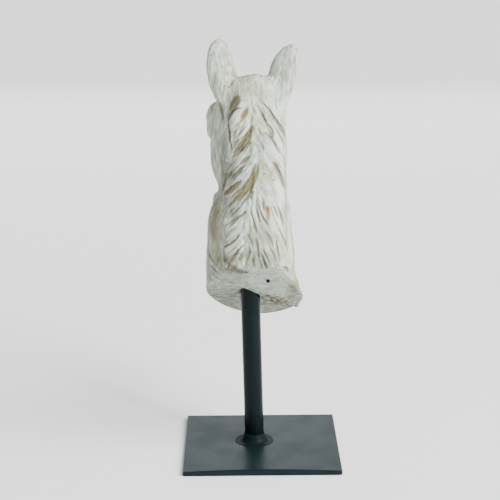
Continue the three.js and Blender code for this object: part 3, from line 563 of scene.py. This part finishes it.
# Stains, and painted shadow in tan and dark under the mane's lower lip and along the broken ledge: centre x
# and z, half width and height, lean, tan, orange, dark, on the back of the carving.
STAINS = [
    (42, 247, 5, 21, 0, 0.75, 0, 0.1), (35, 285, 4, 45, -0.02, 0.35, 0, 0.25),
    (-5.4, 251.2, 3.8, 3.6, 0, 0.3, 1, 0), (-12, 285, 4, 10, 0.5, 0.2, 0.4, 0),
    (42.5, 228, 6.5, 17, 0, 0.6, 0.2, 0.12), (40, 206, 5, 12, 0, 0.45, 0.1, 0.15),
    (31.5, 201.5, 3.5, 4, 0, 0.6, 0, 0.3), (27, 195.5, 7, 4.6, -0.25, 0.6, 0, 0.62),
    (19, 192, 6, 3.4, 0.1, 0.5, 0, 0.72), (34.5, 208, 2.2, 7, 0, 0.6, 0, 0.1),
    (14, 191.5, 2.6, 2, 0, 0.3, 0, 1), (-32, 165, 5, 14, 0, 0.75, 0, 0.3),
    (0, 360, 7, 5, 0, 0.35, 0, 0), (14.4, 247.5, 1.3, 1.3, 0, 0, 0, 1),
    (-3, 282, 1.2, 1.2, 0, 0.2, 0, 0.8), (-12, 276, 1.4, 1.2, 0, 0.2, 0, 0.8),
    (-5, 273, 1.2, 1.2, 0, 0.2, 0, 0.5), (-6, 154, 4, 2.5, 0.4, 0.8, 0, 0.9),
    (-13, 151, 6, 3, 0.4, 0.9, 0, 0.6), (-20, 147, 4, 2.5, 0.3, 0.8, 0, 0.7),
    (-9, 143, 9, 5.5, 0.15, 0.9, 0, 0.55), (-19, 141, 9, 4.5, 0.1, 0.8, 0, 0.45),
    (-16, 144, 5, 2.2, 0, 0.5, 0, 0.8), (-28, 150, 3, 4, 0.5, 0.6, 0, 0.2),
    (38, 322, 1.8, 1.8, 0, 0.2, 0, 0.5), (38, 372, 5, 14, 0, 0.4, 0, 0.15),
    (-13, 380, 3, 12, 0.3, 0.45, 0, 0.1)]
# Dirt in the wash and painted shade, most of it on the left side, the left ear and low down: centre x and z,
# half width and height, lean, strength.
SHADE_AND_DIRT_PATCHES = [
    (26, 190, 14, 8, -0.2, 0.95), (29, 178, 17, 12, 0, 0.62), (35, 370, 18, 40, -0.1, 1),
    (45, 192, 14, 26, 0, 0.6), (40, 230, 8, 26, 0, 0.45), (30, 172, 16, 14, 0, 0.45),
    (42, 158, 20, 12, 0, 0.65), (33, 262, 8, 30, 0.1, 0.5), (40, 300, 12, 30, 0, 0.15),
    (20, 300, 10, 20, 0.3, 0.25), (-3, 206, 12, 10, 0, 0.35), (33, 290, 4, 26, 0.05, 0.45),
    (-10, 143, 18, 10, 0.3, 0.7), (26, 142, 26, 12, 0, 0.5), (40.5, 300, 3, 16, 0, 0.55),
    (33, 350, 4, 12, -0.1, 0.6), (35, 330, 2, 14, 0.1, 0.5), (48.5, 321, 2.2, 3.6, 0, 0.95),
    (44, 336, 4, 6, 0.4, 0.4)]


def hair_shares(p, on_mane):
    """How much each direction of RUNS holds at each point."""
    x, z = p[:, 0], p[:, 2]
    zs, xs = zip(*SPINE)
    off = x - np.interp(z, zs, xs)
    low, side = ease((262 - z) / 45), ease(np.abs(off) / 9)
    angle = np.where(off > 0, 34 + 14 * low, -34 + 17 * ease((290 - z) / 50)) * (0.3 + 0.7 * side)
    fan = ease((214 - z) / 14)
    angle = (angle * (1 - fan) + np.clip(off * 1.6, -17, 34) * fan) * on_mane
    shares = []
    for i, run in enumerate(RUNS):
        above = RUNS[i - 1] if i else run + 20
        below = RUNS[i + 1] if i + 1 < len(RUNS) else run - 20
        nearest = np.minimum((above - angle) / (above - run), (angle - below) / (run - below))
        shares.append(np.clip(nearest, 0, 1))
    shares = np.stack(shares, -1)
    return shares / np.maximum(shares.sum(-1, keepdims=True), 1e-6)


def along_hair(p, shares, strand):
    """Noise drawn out along the hair."""
    wide, long, seed = strand
    total = 0
    for i, run in enumerate(RUNS):
        c, s = math.cos(run * RAD), math.sin(run * RAD)
        across, down = c * p[:, 0] + s * p[:, 2], s * p[:, 0] - c * p[:, 2]
        total = total + shares[:, i] * noise(across / wide, p[:, 1] / (wide * 1.6), down / long, seed + i)
    return total


def mane_share(p):
    """1 on the mane, 0 on the flanks and the head."""
    x, y, z = p[:, 0], p[:, 1], p[:, 2]
    half = mane_half(z)
    left = ease((half + 2 - (x - MANE["x"])) / 4)
    right = ease((half + 8 + (x - MANE["x"])) / 16)
    return left * right * ease((y + 4) / 10) * ease((356 - z) / 12)


def marks(p, on_mane, shares):
    """Height of the fine carving in millimetres, and how far each point is down between strands."""
    x, y, z = p[:, 0], p[:, 1], p[:, 2]
    left = 0.6 + 0.4 * ease((x - 2) / 8)  # the strands are cut deeper on this side
    locks = 0.80 * along_hair(p, shares, LOCKS)
    broad, thin = (np.abs(along_hair(p, shares, strand)) for strand in (BROAD, THIN))
    strands = 0.95 * np.minimum(broad * 3, 1) + 0.50 * np.minimum(thin * 3, 1) - 0.9
    valley = np.maximum(ease(1 - broad / 0.13), 0.6 * ease(1 - thin / 0.13))
    crumbs = 0.26 * mottle(p, (3.1, 3.1, 3.6), 8) * ease((225 - z) / 20)
    lumps = 0.60 * mottle(p, (17, 17, 24), 5) + 0.30 * mottle(p, (7.5, 7.5, 11), 6)
    grain = np.abs(noise(x / 4.2 + 0.04 * z, y / 4.2, z / 30, 7))
    plain = 1 - on_mane
    height = on_mane * (left * (locks + strands) + crumbs) + lumps
    height = height + plain * 0.45 * (np.minimum(grain * 3, 1) - 0.7)
    return height, on_mane * left * valley + 0.8 * plain * ease(1 - grain / 0.12)


def oval(p, x, z, wide, high, lean, core):
    """1 in the middle of a leaning oval, falling to 0 across its rim."""
    dx, dz = p[:, 0] - x + lean * (p[:, 2] - z), p[:, 2] - z
    return ease(core - np.hypot(dx / wide, dz / high))


def stains(p):
    """Shares of tan wood, orange wood, dark cuts and dirt at each point, from the tables; the dark share is
    painted shade in the cuts and painted shadow under the mane's lip and the ledge, and the dirt share holds
    painted shade as well.
    """
    tan, orange, dark, shade_and_dirt = (np.zeros(len(p), F) for _ in range(4))
    rear = ease((p[:, 1] - np.interp(p[:, 2], (160, 185), (-34, 2))) / 9)
    for curve, (_, pale, rust, black) in CUT_CURVES:
        m = beside(p, curve, curve[2] * 1.6)
        if not m.any():
            continue
        across, signed, along = near_cut(p[m, 0], p[m, 2], curve)
        line_width = min(0.9, 1.2 / curve[2] * 0.75)
        body = ease((1.15 - across) / 0.5)
        lower = ease((0.8 - np.abs(signed + 0.25)) / 0.6)
        # line is a painted shade along the bottom of the cut
        line = ease(1.2 - np.abs(signed - 0.35) / line_width) * (across < 1.5)
        tan[m] = np.maximum(tan[m], pale * body)
        orange[m] = np.maximum(orange[m], rust * lower * ease(1.3 - np.abs(along - 0.5) / 0.35))
        dark[m] = np.maximum(dark[m], black * line * ease(1.15 - np.abs(along - 0.45) / 0.55))
    for *shape, pale, rust, black in STAINS:
        near = oval(p, *shape, 1.3) * rear
        tan = np.maximum(tan, pale * near)
        orange = np.maximum(orange, rust * near)
        dark = np.maximum(dark, black * near)
    for *shape, strength in SHADE_AND_DIRT_PATCHES:
        shade_and_dirt = np.maximum(shade_and_dirt, strength * oval(p, *shape, 1.35) * (0.25 + 0.75 * rear))
    return tan, orange, dark, shade_and_dirt


def torn_wood(p, flat):
    """Splintered wood along the break: its relief in millimetres, then its tan, the painted shade in its
    pits and splits, and the painted shade in its low spots.
    """
    edge, corner, _ = near_break(p)
    torn = np.maximum(edge * flat, corner)
    split = ease(1 - np.abs(mottle(p, (7, 2.4, 2.4), 55)) / 0.10)
    crumb = mottle(p, (2.6, 2.6, 2.6), 51)
    splinter = mottle(p, (1.4, 1.4, 1.4), 52)
    relief = (torn - 0.5 * corner) * (1.5 * crumb + 1.0 * splinter - 0.6 * split)
    uneven = ease(0.62 + 1.7 * mottle(p, (8, 8, 8), 56))
    tan = 0.62 * torn * uneven * ease(crumb * 2.2 + 0.5)
    pits = ease(0.25 - splinter * 1.6 - crumb * 1.6)
    dark = 0.85 * torn * np.maximum(pits, 0.9 * split)
    return relief, tan, dark, 0.75 * torn * ease(0.55 - crumb * 2.0)


def side_and_cut_shade(p, n, flat):
    """Painted shade, broken up in patches and streaks, on the sides of the neck, towards the front of the
    saw cut and ahead of its broken edge.
    """
    patchy = ease(0.5 + 1.5 * mottle(p, (4.0, 7.0, 17), 54))
    sides = (0.04 + 0.74 * patchy) * ease((0.50 - np.abs(n[:, 1])) / 0.40)
    streak = 1.15 + 1.1 * mottle(p, (4.5, 1.8, 1.8), 53)
    front = 0.9 * flat * streak * ease((26 - p[:, 1]) / 28) * ease((p[:, 0] + 20) / 30)
    ahead = 0.95 * flat * streak * near_break(p)[2]
    return np.maximum(sides, np.maximum(front, ahead))


def drilled_hole(p):
    """Distance from the line of the drilled hole on the back, and the way in."""
    tilt = DRILL["tilt"] * RAD
    inward = np.array([0, -math.cos(tilt), -math.sin(tilt)], F)
    offset = p - np.array(DRILL["place"], F)
    elsewhere = 9 * (p[:, 1] < 20)  # keeps the front of the head out
    return np.linalg.norm(offset - (offset @ inward)[:, None] * inward, axis=1) + elsewhere, inward


def head_surface():
    """The carving as faces, finer on the mane, round the drilled hole and along the broken edge."""
    values = sampled(horse, HEAD_LOW, HEAD_HIGH, CELL)
    unpinch(values)
    points, quads = skin(values, HEAD_LOW, CELL)
    points = settled(horse, points.astype(F))
    middle = points[quads].mean(1)
    mane_foot, round_hole, above_cut = 176, 9, 5
    fine = (mane_share(middle) > 0.1) & (middle[:, 2] > mane_foot)
    fine |= np.linalg.norm(middle - np.array(DRILL["place"], F), axis=1) < round_hole
    fine |= (near_break(middle)[0] > 0.02) & (under_cut(middle) > -above_cut)
    points, faces = refined(points, quads, fine)
    return settled(horse, points.astype(F)), faces


def head_mesh():
    """The carving with its marks raised, and at each point what the wood material needs."""
    points, faces = head_surface()
    x, y = points[:, 0], points[:, 1]
    steep = slope(horse, points)[1]
    n = unit(steep)
    flat = ease((under_cut(points) + 3.5) / 3)  # 1 on the saw cut
    rim = ease(socket(points) / 2)  # 0 at the post's socket
    on_mane = mane_share(points) * (1 - flat)
    shares = hair_shares(points, on_mane)
    height, valley = marks(points, on_mane, shares)
    torn_height, torn_tan, torn_pit_shade, torn_low_shade = torn_wood(points, flat)
    height *= (1 - 0.85 * flat) * rim
    height += torn_height * rim
    # valley carries the painted shade in the grooves between strands and along the grain; there is less of
    # it on the saw cut, at the socket and on the right side
    valley *= (1 - 0.7 * flat) * rim * (1 - 0.4 * ease((5 - x) / 8))
    tan, orange, dark, shade_and_dirt = stains(points)
    drilled, inward = drilled_hole(points)
    # painted shade inside the drilled hole
    inside_hole = ease((DRILL["radius"] + 0.7 - drilled) / DRILL["rim"])
    probe = 2.5  # how far out the field is read to tell hollows from ridges
    open_air = horse(points + n * probe) / (probe * np.maximum(np.linalg.norm(steep, axis=1), 1))
    data = {
        "calm": ease((-10 - y) / 40),
        # hollow gives the painted shade in the carving's hollows and the painted highlight on its ridges
        "hollow": np.clip(1 - open_air, -1, 1),
        "relief": height,
        "sawn": flat,
        "tan_wood": np.maximum(tan, torn_tan),
        "orange_wood": orange,
        "cut_shade": np.maximum(np.maximum(dark, torn_pit_shade), inside_hole),
        "shade_and_dirt": np.maximum(np.maximum(shade_and_dirt, torn_low_shade), side_and_cut_shade(points, n, flat)),
        "valley": valley}
    for i in range(len(RUNS)):
        data["run_%d" % i] = shares[:, i]
    shown = points + n * height[:, None]
    sunk = DRILL["depth"] * ease((DRILL["radius"] + 0.3 - drilled) / DRILL["rim"])
    shown += inward * sunk[:, None]
    return mesh_object("horse_head_carved", shown, faces, data)


def placed(name, data):
    """A new object in the scene."""
    obj = bpy.data.objects.new(name, data)
    bpy.context.collection.objects.link(obj)
    return obj


def mesh_object(name, points, faces, data):
    """A smooth object from points in millimetres, with the numbers that each point carries."""
    mesh = bpy.data.meshes.new(name)
    mesh.from_pydata((points * MM).tolist(), [], faces)
    for key, values in data.items():
        layer = mesh.attributes.new(key, "FLOAT", "POINT")
        layer.data.foreach_set("value", np.ascontiguousarray(values, F))
    mesh.polygons.foreach_set("use_smooth", [True] * len(mesh.polygons))
    return placed(name, mesh)


# ---- stand
def plate_top(x, y):
    """Height of the plate's slightly arched top, which falls to its edge height at the front."""
    half = PLATE["side"] / 2
    arch = 1 - min(1.0, (x / half) ** 2)
    return PLATE["edge"] + PLATE["crown"] * arch * min(1.0, max(0.0, (y + half) / PLATE["side"]))


def ring_object(name, rings, closed_ends):
    """Rings of points joined by quads, either capped at both ends or closed into a loop."""
    size, count = len(rings[0]), len(rings)
    faces = []
    for r in range(count - 1 if closed_ends else count):
        here, there = r * size, (r + 1) % count * size
        for i in range(size):
            j = (i + 1) % size
            faces.append((here + i, here + j, there + j, there + i))
    if closed_ends:
        faces.append(tuple(range(size))[::-1])
        faces.append(tuple(range((count - 1) * size, count * size)))
    return mesh_object(name, np.array(rings).reshape(-1, 3), faces, {})


def axis_x(z):
    """Where the leaning axis of the post stands at a height."""
    return POST["x"] + math.tan(POST["lean"] * RAD) * z


def around(sides):
    return [2 * math.pi * i / sides for i in range(sides)]


def circle(radius, z):
    return [(axis_x(z) + radius * math.cos(a), POST["y"] + radius * math.sin(a), z) for a in around(96)]


def post_object():
    radius, top, steps = POST["radius"], POST["top"], 12
    foot = plate_top(POST["x"], POST["y"] + radius) + 0.3
    rings = [circle(radius - POST["foot_bevel"], foot), circle(radius, foot + POST["foot_bevel"])]
    rings += [circle(radius, foot + (top - foot) * k / steps) for k in range(1, steps)]
    rings += [circle(radius, top - POST["top_bevel"]), circle(radius - POST["top_bevel"], top)]
    return ring_object("post_bar", rings, True)


def weld_ring(t):
    """One ring of the weld's hollow face, from its lip at the post (0) to its edge on the plate (1)."""
    ring = []
    for a in around(120):
        ripple = 1 + 0.035 * math.sin(3 * a + 1.3) + 0.02 * math.sin(7 * a)
        r = POST["radius"] + WELD["gap"] + WELD["lip"] + (WELD["reach"] * ripple - WELD["lip"]) * t
        rise = WELD["height"] * ripple * (1 - t) ** 5 + WELD["edge"]
        x = axis_x(plate_top(POST["x"], POST["y"]) + rise) + r * math.cos(a)
        y = POST["y"] + r * math.sin(a)
        ring.append((x, y, plate_top(x, y) + rise + 0.05))
    return ring


def weld_object():
    """A ring of weld, slightly wavy along its run and closed underneath."""
    steps, under = 14, 0.02
    rings = [weld_ring(k / steps) for k in range(steps + 1)]
    low = [(x, y, plate_top(x, y) + under) for x, y, _ in rings[-1]]
    bore = POST["radius"] + WELD["gap"]
    share = bore / (bore + WELD["lip"])
    inner = [(POST["x"] + (x - POST["x"]) * share, POST["y"] + (y - POST["y"]) * share,
              plate_top(x, y) + under) for x, y, _ in rings[0]]
    return ring_object("weld_run", [inner] + rings + [low], False)


def plate_loop(inset, corner_steps=4, side_steps=24):
    """The plate's outline, drawn in by the inset."""
    half = PLATE["side"] / 2
    reach, r = half - PLATE["corner"], PLATE["corner"] - inset
    loop = []
    for side in range(4):
        turn = Matrix.Rotation(side * math.pi / 2, 2)
        for i in range(corner_steps + 1):
            a = i / corner_steps * math.pi / 2
            loop.append(turn @ Vector((reach + r * math.cos(a), reach + r * math.sin(a))))
        for i in range(1, side_steps):
            loop.append(turn @ Vector((reach - 2 * reach * i / side_steps, half - inset)))
    return loop


def plate_object():
    """A sheet with eased edges; its top is drawn by ever smaller loops."""
    bevel = PLATE["bevel"]
    eased = [(plate_loop(bevel), 0.0), (plate_loop(bevel * 0.3), bevel * 0.3), (plate_loop(0), bevel)]
    rings = [[(q.x, q.y, up) for q in loop] for loop, up in eased]
    rings += [[(q.x, q.y, plate_top(q.x, q.y) - down) for q in loop] for loop, down in eased[:0:-1]]
    for shrink in (1, 0.97, 0.9, 0.8, 0.65, 0.5, 0.35, 0.2, 0.08):
        inner = [(q.x * shrink, q.y * shrink) for q in eased[0][0]]
        rings.append([(x, y, plate_top(x, y)) for x, y in inner])
    return ring_object("plate_sheet", rings, True)


# ---- materials
class Nodes:
    """Short calls for building a node material."""

    def __init__(self, name):
        self.material = bpy.data.materials.new(name)
        self.material.use_nodes = True
        self.tree = self.material.node_tree
        self.shader = self.tree.nodes["Principled BSDF"]

    def link(self, value, socket):
        if isinstance(value, bpy.types.NodeSocket):
            self.tree.links.new(value, socket)
        elif isinstance(value, tuple) and len(value) == 3 and socket.type == "RGBA":
            socket.default_value = (*value, 1)
        else:
            socket.default_value = value

    def attribute(self, name):
        node = self.tree.nodes.new("ShaderNodeAttribute")
        node.attribute_name = name
        return node.outputs["Fac"]

    def place(self):
        return self.tree.nodes.new("ShaderNodeTexCoord").outputs["Object"]

    def node(self, kind, vector, **numbers):
        node = self.tree.nodes.new(kind)
        self.link(vector, node.inputs["Vector"])
        for key, number in numbers.items():
            node.inputs[key].default_value = number
        return node.outputs[0]

    def scaled(self, vector, scale, offset=(0, 0, 0), turn=(0, 0, 0)):
        return self.node("ShaderNodeMapping", vector, Scale=scale, Location=offset, Rotation=turn)

    def noise(self, vector, detail, rough, distortion=0.0):
        """Noise with features about one unit of the vector across."""
        return self.node("ShaderNodeTexNoise", vector, Scale=1.0, Detail=detail, Roughness=rough,
                         Distortion=distortion)

    def span(self, value, low, high, to_low=0.0, to_high=1.0):
        """The value eased from one number to another between low and high."""
        node = self.tree.nodes.new("ShaderNodeMapRange")
        node.interpolation_type = "SMOOTHSTEP"
        self.link(value, node.inputs["Value"])
        ends = (low, high, to_low, to_high)
        for key, number in zip(("From Min", "From Max", "To Min", "To Max"), ends):
            node.inputs[key].default_value = number
        return node.outputs[0]

    def math(self, kind, *values, clamp=False):
        node = self.tree.nodes.new("ShaderNodeMath")
        node.operation = kind
        node.use_clamp = clamp
        for value, socket in zip(values, node.inputs):
            self.link(value, socket)
        return node.outputs[0]

    def mix(self, share, a, b):
        """One colour over another; the node keeps its colour sockets after those of its other types."""
        node = self.tree.nodes.new("ShaderNodeMix")
        node.data_type = "RGBA"
        for value, socket in ((share, 0), (a, 6), (b, 7)):
            self.link(value, node.inputs[socket])
        return node.outputs[2]

    def bump(self, height, distance, strength):
        node = self.tree.nodes.new("ShaderNodeBump")
        node.inputs["Distance"].default_value = distance
        node.inputs["Strength"].default_value = strength
        self.link(height, node.inputs["Height"])
        self.link(node.outputs[0], self.shader.inputs["Normal"])


WASH_LIGHT = (0.60, 0.64, 0.555)
# grey of the wash, also used as the painted shade in the grooves in the base wash below
WASH_GREY = (0.275, 0.315, 0.245)
WASH_OLIVE = (0.40, 0.41, 0.255)
WASH_BLUE = (0.47, 0.545, 0.545)
WASH_WHITE = (0.66, 0.69, 0.63)
FLECK = (0.66, 0.68, 0.62)
# colour of the painted highlight on the ridges of the carving
RIDGE_HIGHLIGHT = (0.64, 0.66, 0.60)
# colour of the painted shade in the hollows of the carving
HOLLOW_SHADE = (0.12, 0.125, 0.08)
SAWN_DARK, SAWN_LIGHT = (0.205, 0.242, 0.215), (0.370, 0.408, 0.375)
# colour of dirt and of painted shade, also used for the painted shade between the strands
SHADE_AND_DIRT = (0.160, 0.185, 0.135)
BARE = (0.252, 0.224, 0.114)
BROWN = (0.140, 0.122, 0.066)
ORANGE = (0.370, 0.200, 0.070)
SHADE = (0.040, 0.042, 0.028)
STROKE, FINE = (0.0034, 0.022, 4), (0.0012, 0.009, 3)  # width and length in metres, and detail
# Patterns in the wash: features to the metre along x, y and z, offset, detail, roughness.
PATCH = ((34, 34, 24), (0, 0, 0), 4, 0.65)
SMEAR = ((75, 75, 50), (0.3, 0.1, 0.7), 4, 0.65)
BLOTCH = ((170, 170, 120), (0.9, 0.4, 0.2), 4, 0.7)
SPECK = ((520, 520, 420), (0, 0, 0), 2, 0.6)


def drawn_out(n, spot, wide, long, detail):
    """Streaks of paint and grain that follow the hair."""
    total = 0.0
    for i, run in enumerate(RUNS):
        along = n.scaled(spot, (1, 1, 1), turn=(0, run * RAD, 0))
        along = n.scaled(along, (1 / wide, 0.7 / wide, 1 / long), offset=(3.1 * i, 0, 0))
        streak = n.noise(along, detail, 0.6, 0.3)
        total = n.math("MULTIPLY_ADD", n.attribute("run_%d" % i), streak, total)
    return total


def wood_material():
    n = Nodes("washed_carved_wood")
    spot = n.place()
    stroke, fine = (drawn_out(n, spot, *size) for size in (STROKE, FINE))
    patch, smear, blotch, speck = (
        n.noise(n.scaled(spot, scale, offset), detail, rough)
        for scale, offset, detail, rough in (PATCH, SMEAR, BLOTCH, SPECK))
    sawn, hollow = n.attribute("sawn"), n.attribute("hollow")
    # the wash goes grey where the carved relief is low, which is a painted shade in the grooves, and where
    # the paint streaks are dark; it is lighter towards the front of the head
    streaks_and_groove_shade = n.math("ADD", stroke, n.math("MULTIPLY", n.attribute("relief"), 0.14))
    streaks_and_groove_shade = n.math("ADD", streaks_and_groove_shade, n.math("MULTIPLY", n.attribute("calm"), 0.09))
    colour = n.mix(n.span(streaks_and_groove_shade, 0.36, 0.60), WASH_GREY, WASH_LIGHT)
    # the wash, thick and thin: pattern, where it starts and is full, its greatest share, colour
    for pattern, start, full, share, paint in (
            (smear, 0.50, 0.66, 0.65, WASH_BLUE), (patch, 0.50, 0.66, 0.7, WASH_OLIVE),
            (blotch, 0.50, 0.30, 0.45, WASH_GREY), (blotch, 0.56, 0.72, 0.6, WASH_WHITE),
            (fine, 0.50, 0.30, 0.60, WASH_GREY), (speck, 0.33, 0.22, 0.7, BARE),
            (speck, 0.62, 0.75, 0.5, FLECK)):
        colour = n.mix(n.span(pattern, start, full, 0.0, share), colour, paint)
    cut_wood = n.mix(n.span(blotch, 0.38, 0.62), SAWN_DARK, SAWN_LIGHT)
    colour = n.mix(n.math("MULTIPLY", sawn, 0.62), colour, cut_wood)
    # dirt with painted shade, painted shade between the strands, bare wood in the cuts, then painted shade
    # at their bottoms: attribute, pattern that breaks it up, its two ends, colour
    for name, pattern, low, high, to_low, to_high, paint in (
            ("shade_and_dirt", blotch, 0.30, 0.62, 1.1, 0.45, SHADE_AND_DIRT),
            ("valley", smear, 0.35, 0.62, 0.75, 0.30, SHADE_AND_DIRT),
            ("tan_wood", stroke, 0.28, 0.66, 1.25, 0.7, n.mix(n.span(fine, 0.35, 0.62), BROWN, BARE)),
            ("orange_wood", speck, 0.35, 0.60, 0.8, 1.0, ORANGE),
            ("cut_shade", fine, 0.70, 0.40, 0.55, 1.0, SHADE)):
        broken_up = n.span(pattern, low, high, to_low, to_high)
        colour = n.mix(n.math("MULTIPLY", n.attribute(name), broken_up, clamp=True), colour, paint)
    # painted shade in the hollows of the carving
    colour = n.mix(n.span(hollow, 0.10, 0.60, 0.0, 0.60), colour, HOLLOW_SHADE)
    # painted highlight on the ridges of the carving
    colour = n.mix(n.span(hollow, -0.08, -0.45, 0.0, 0.35), colour, RIDGE_HIGHLIGHT)
    n.link(colour, n.shader.inputs["Base Color"])
    n.link(n.span(stroke, 0.3, 0.7, 0.92, 0.76), n.shader.inputs["Roughness"])
    height = n.math("MULTIPLY_ADD", fine, 0.5, n.math("MULTIPLY_ADD", speck, 0.25, stroke))
    n.bump(n.math("MULTIPLY", height, n.span(sawn, 0.0, 1.0, 1.0, 0.35)), 0.0016, 0.9)
    n.shader.inputs["Specular IOR Level"].default_value = 0.3
    return n.material


def steel_material(name, tint, rough_low, rough_high, ior):
    """Satin blue-black paint, clouded and with a fine grit."""
    n = Nodes(name)
    spot = n.place()
    cloud = n.noise(n.scaled(spot, (28, 28, 28)), 3, 0.55)
    grit = n.noise(n.scaled(spot, (1500, 1500, 1500)), 2, 0.5)
    colour = n.mix(n.span(cloud, 0.3, 0.7), tint, tuple(c * 1.35 for c in tint))
    n.link(colour, n.shader.inputs["Base Color"])
    n.link(n.span(cloud, 0.35, 0.7, rough_low, rough_high), n.shader.inputs["Roughness"])
    n.bump(grit, 0.00006, 0.35)
    n.shader.inputs["IOR"].default_value = ior
    n.shader.inputs["Specular Tint"].default_value = (0.88, 1.0, 1.02, 1)
    return n.material


# ---- pieces
head = head_mesh()
head.data.materials.append(wood_material())
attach(head, "root")
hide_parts("horse_head")

# Steel pieces: the node each replaces, and its paint's name, colour, roughness low and high, and IOR.
for piece, node, paint in (
        (post_object(), "post", ("black_post_paint", (0.0022, 0.0050, 0.0055), 0.18, 0.24, 1.19)),
        (weld_object(), "weld_bead", ("black_weld_paint", (0.004, 0.008, 0.009), 0.40, 0.50, 1.12)),
        (plate_object(), "base_plate", ("black_plate_paint", (0.003, 0.0085, 0.0095), 0.34, 0.42, 1.22))):
    piece.data.materials.append(steel_material(*paint))
    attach(piece, "root")
    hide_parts(node)


# ---- stage, light and camera, in metres
FLOOR = dict(half=14.0, z=-0.0002, colour=(0.93, 0.93, 0.93, 1), roughness=0.9)
WORLD_LIGHT = 0.55
KEY = dict(strength=7.05, spread=50, comes_from=(-0.66, 0.42, 0.62), colour=(1.0, 0.995, 0.98))
# Soft panels: place, target, width and height, how bright the face is, colour.
PANELS = dict(
    backdrop=((0, -2.3, 0.95), (0, 0, 0.2), (3.0, 1.0), 2.1, (0.89, 1.0, 1.02)),
    strip=((-1.5, -0.12, 0.5), (0, 0, 0.25), (0.16, 1.1), 8.0, (0.96, 1.0, 1.0)),
    panel=((-1.0, 1.05, 0.5), (0, 0, 0.25), (0.15, 1.1), 34.0, (0.97, 1.0, 1.0)))
# The camera, worked out from the plate's corners.
CAMERA = dict(place=(0.020, 1.347, 0.547), sensor=36.0, lens=105.1, pitch=14.47, roll=-0.35, yaw=0.422)


def stage_floor():
    half, z = FLOOR["half"], FLOOR["z"]
    corners = [(-half, -half, z), (half, -half, z), (half, half, z), (-half, half, z)]
    mesh = bpy.data.meshes.new("floor")
    mesh.from_pydata(corners, [], [(0, 1, 2, 3)])
    floor = placed("floor", mesh)
    n = Nodes("pale_floor")
    n.shader.inputs["Base Color"].default_value = FLOOR["colour"]
    n.shader.inputs["Roughness"].default_value = FLOOR["roughness"]
    mesh.materials.append(n.material)


def area_light(name, place, target, size, radiance, colour):
    """A soft panel: width and height in metres, and how bright its face is."""
    data = bpy.data.lights.new(name, "AREA")
    data.shape, data.size, data.size_y = "RECTANGLE", size[0], size[1]
    data.energy, data.color = radiance * math.pi * size[0] * size[1], colour
    light = placed(name, data)
    light.location = place
    light.rotation_euler = (Vector(target) - Vector(place)).to_track_quat("-Z", "Y").to_euler()


def studio():
    world = bpy.data.worlds.new("studio")
    world.use_nodes = True
    background = world.node_tree.nodes["Background"]
    background.inputs["Color"].default_value = (1.0, 1.0, 1.0, 1)
    background.inputs["Strength"].default_value = WORLD_LIGHT
    bpy.context.scene.world = world
    data = bpy.data.lights.new("key", "SUN")
    data.energy, data.angle, data.color = KEY["strength"], KEY["spread"] * RAD, KEY["colour"]
    placed("key", data).rotation_euler = Vector(KEY["comes_from"]).to_track_quat("Z", "Y").to_euler()
    for name, panel in PANELS.items():
        area_light(name, *panel)


def camera():
    data = bpy.data.cameras.new("camera")
    data.sensor_width, data.lens = CAMERA["sensor"], CAMERA["lens"]
    pitch, roll, yaw = (CAMERA[angle] * RAD for angle in ("pitch", "roll", "yaw"))
    ahead = Vector((math.sin(yaw) * math.cos(pitch), math.cos(yaw) * math.cos(pitch), -math.sin(pitch)))
    right = Vector((math.cos(yaw), -math.sin(yaw), 0))
    up = right.cross(ahead)
    right, up = math.cos(roll) * right + math.sin(roll) * up, math.cos(roll) * up - math.sin(roll) * right
    turn = Matrix((right, up, -ahead)).transposed()
    half_turn = Matrix.Diagonal((-1, -1, 1))
    bpy.context.scene.camera = placed("camera", data)
    bpy.context.scene.camera.matrix_world = Matrix.Translation(CAMERA["place"]) @ (half_turn @ turn).to_4x4()


stage_floor()
studio()
camera()
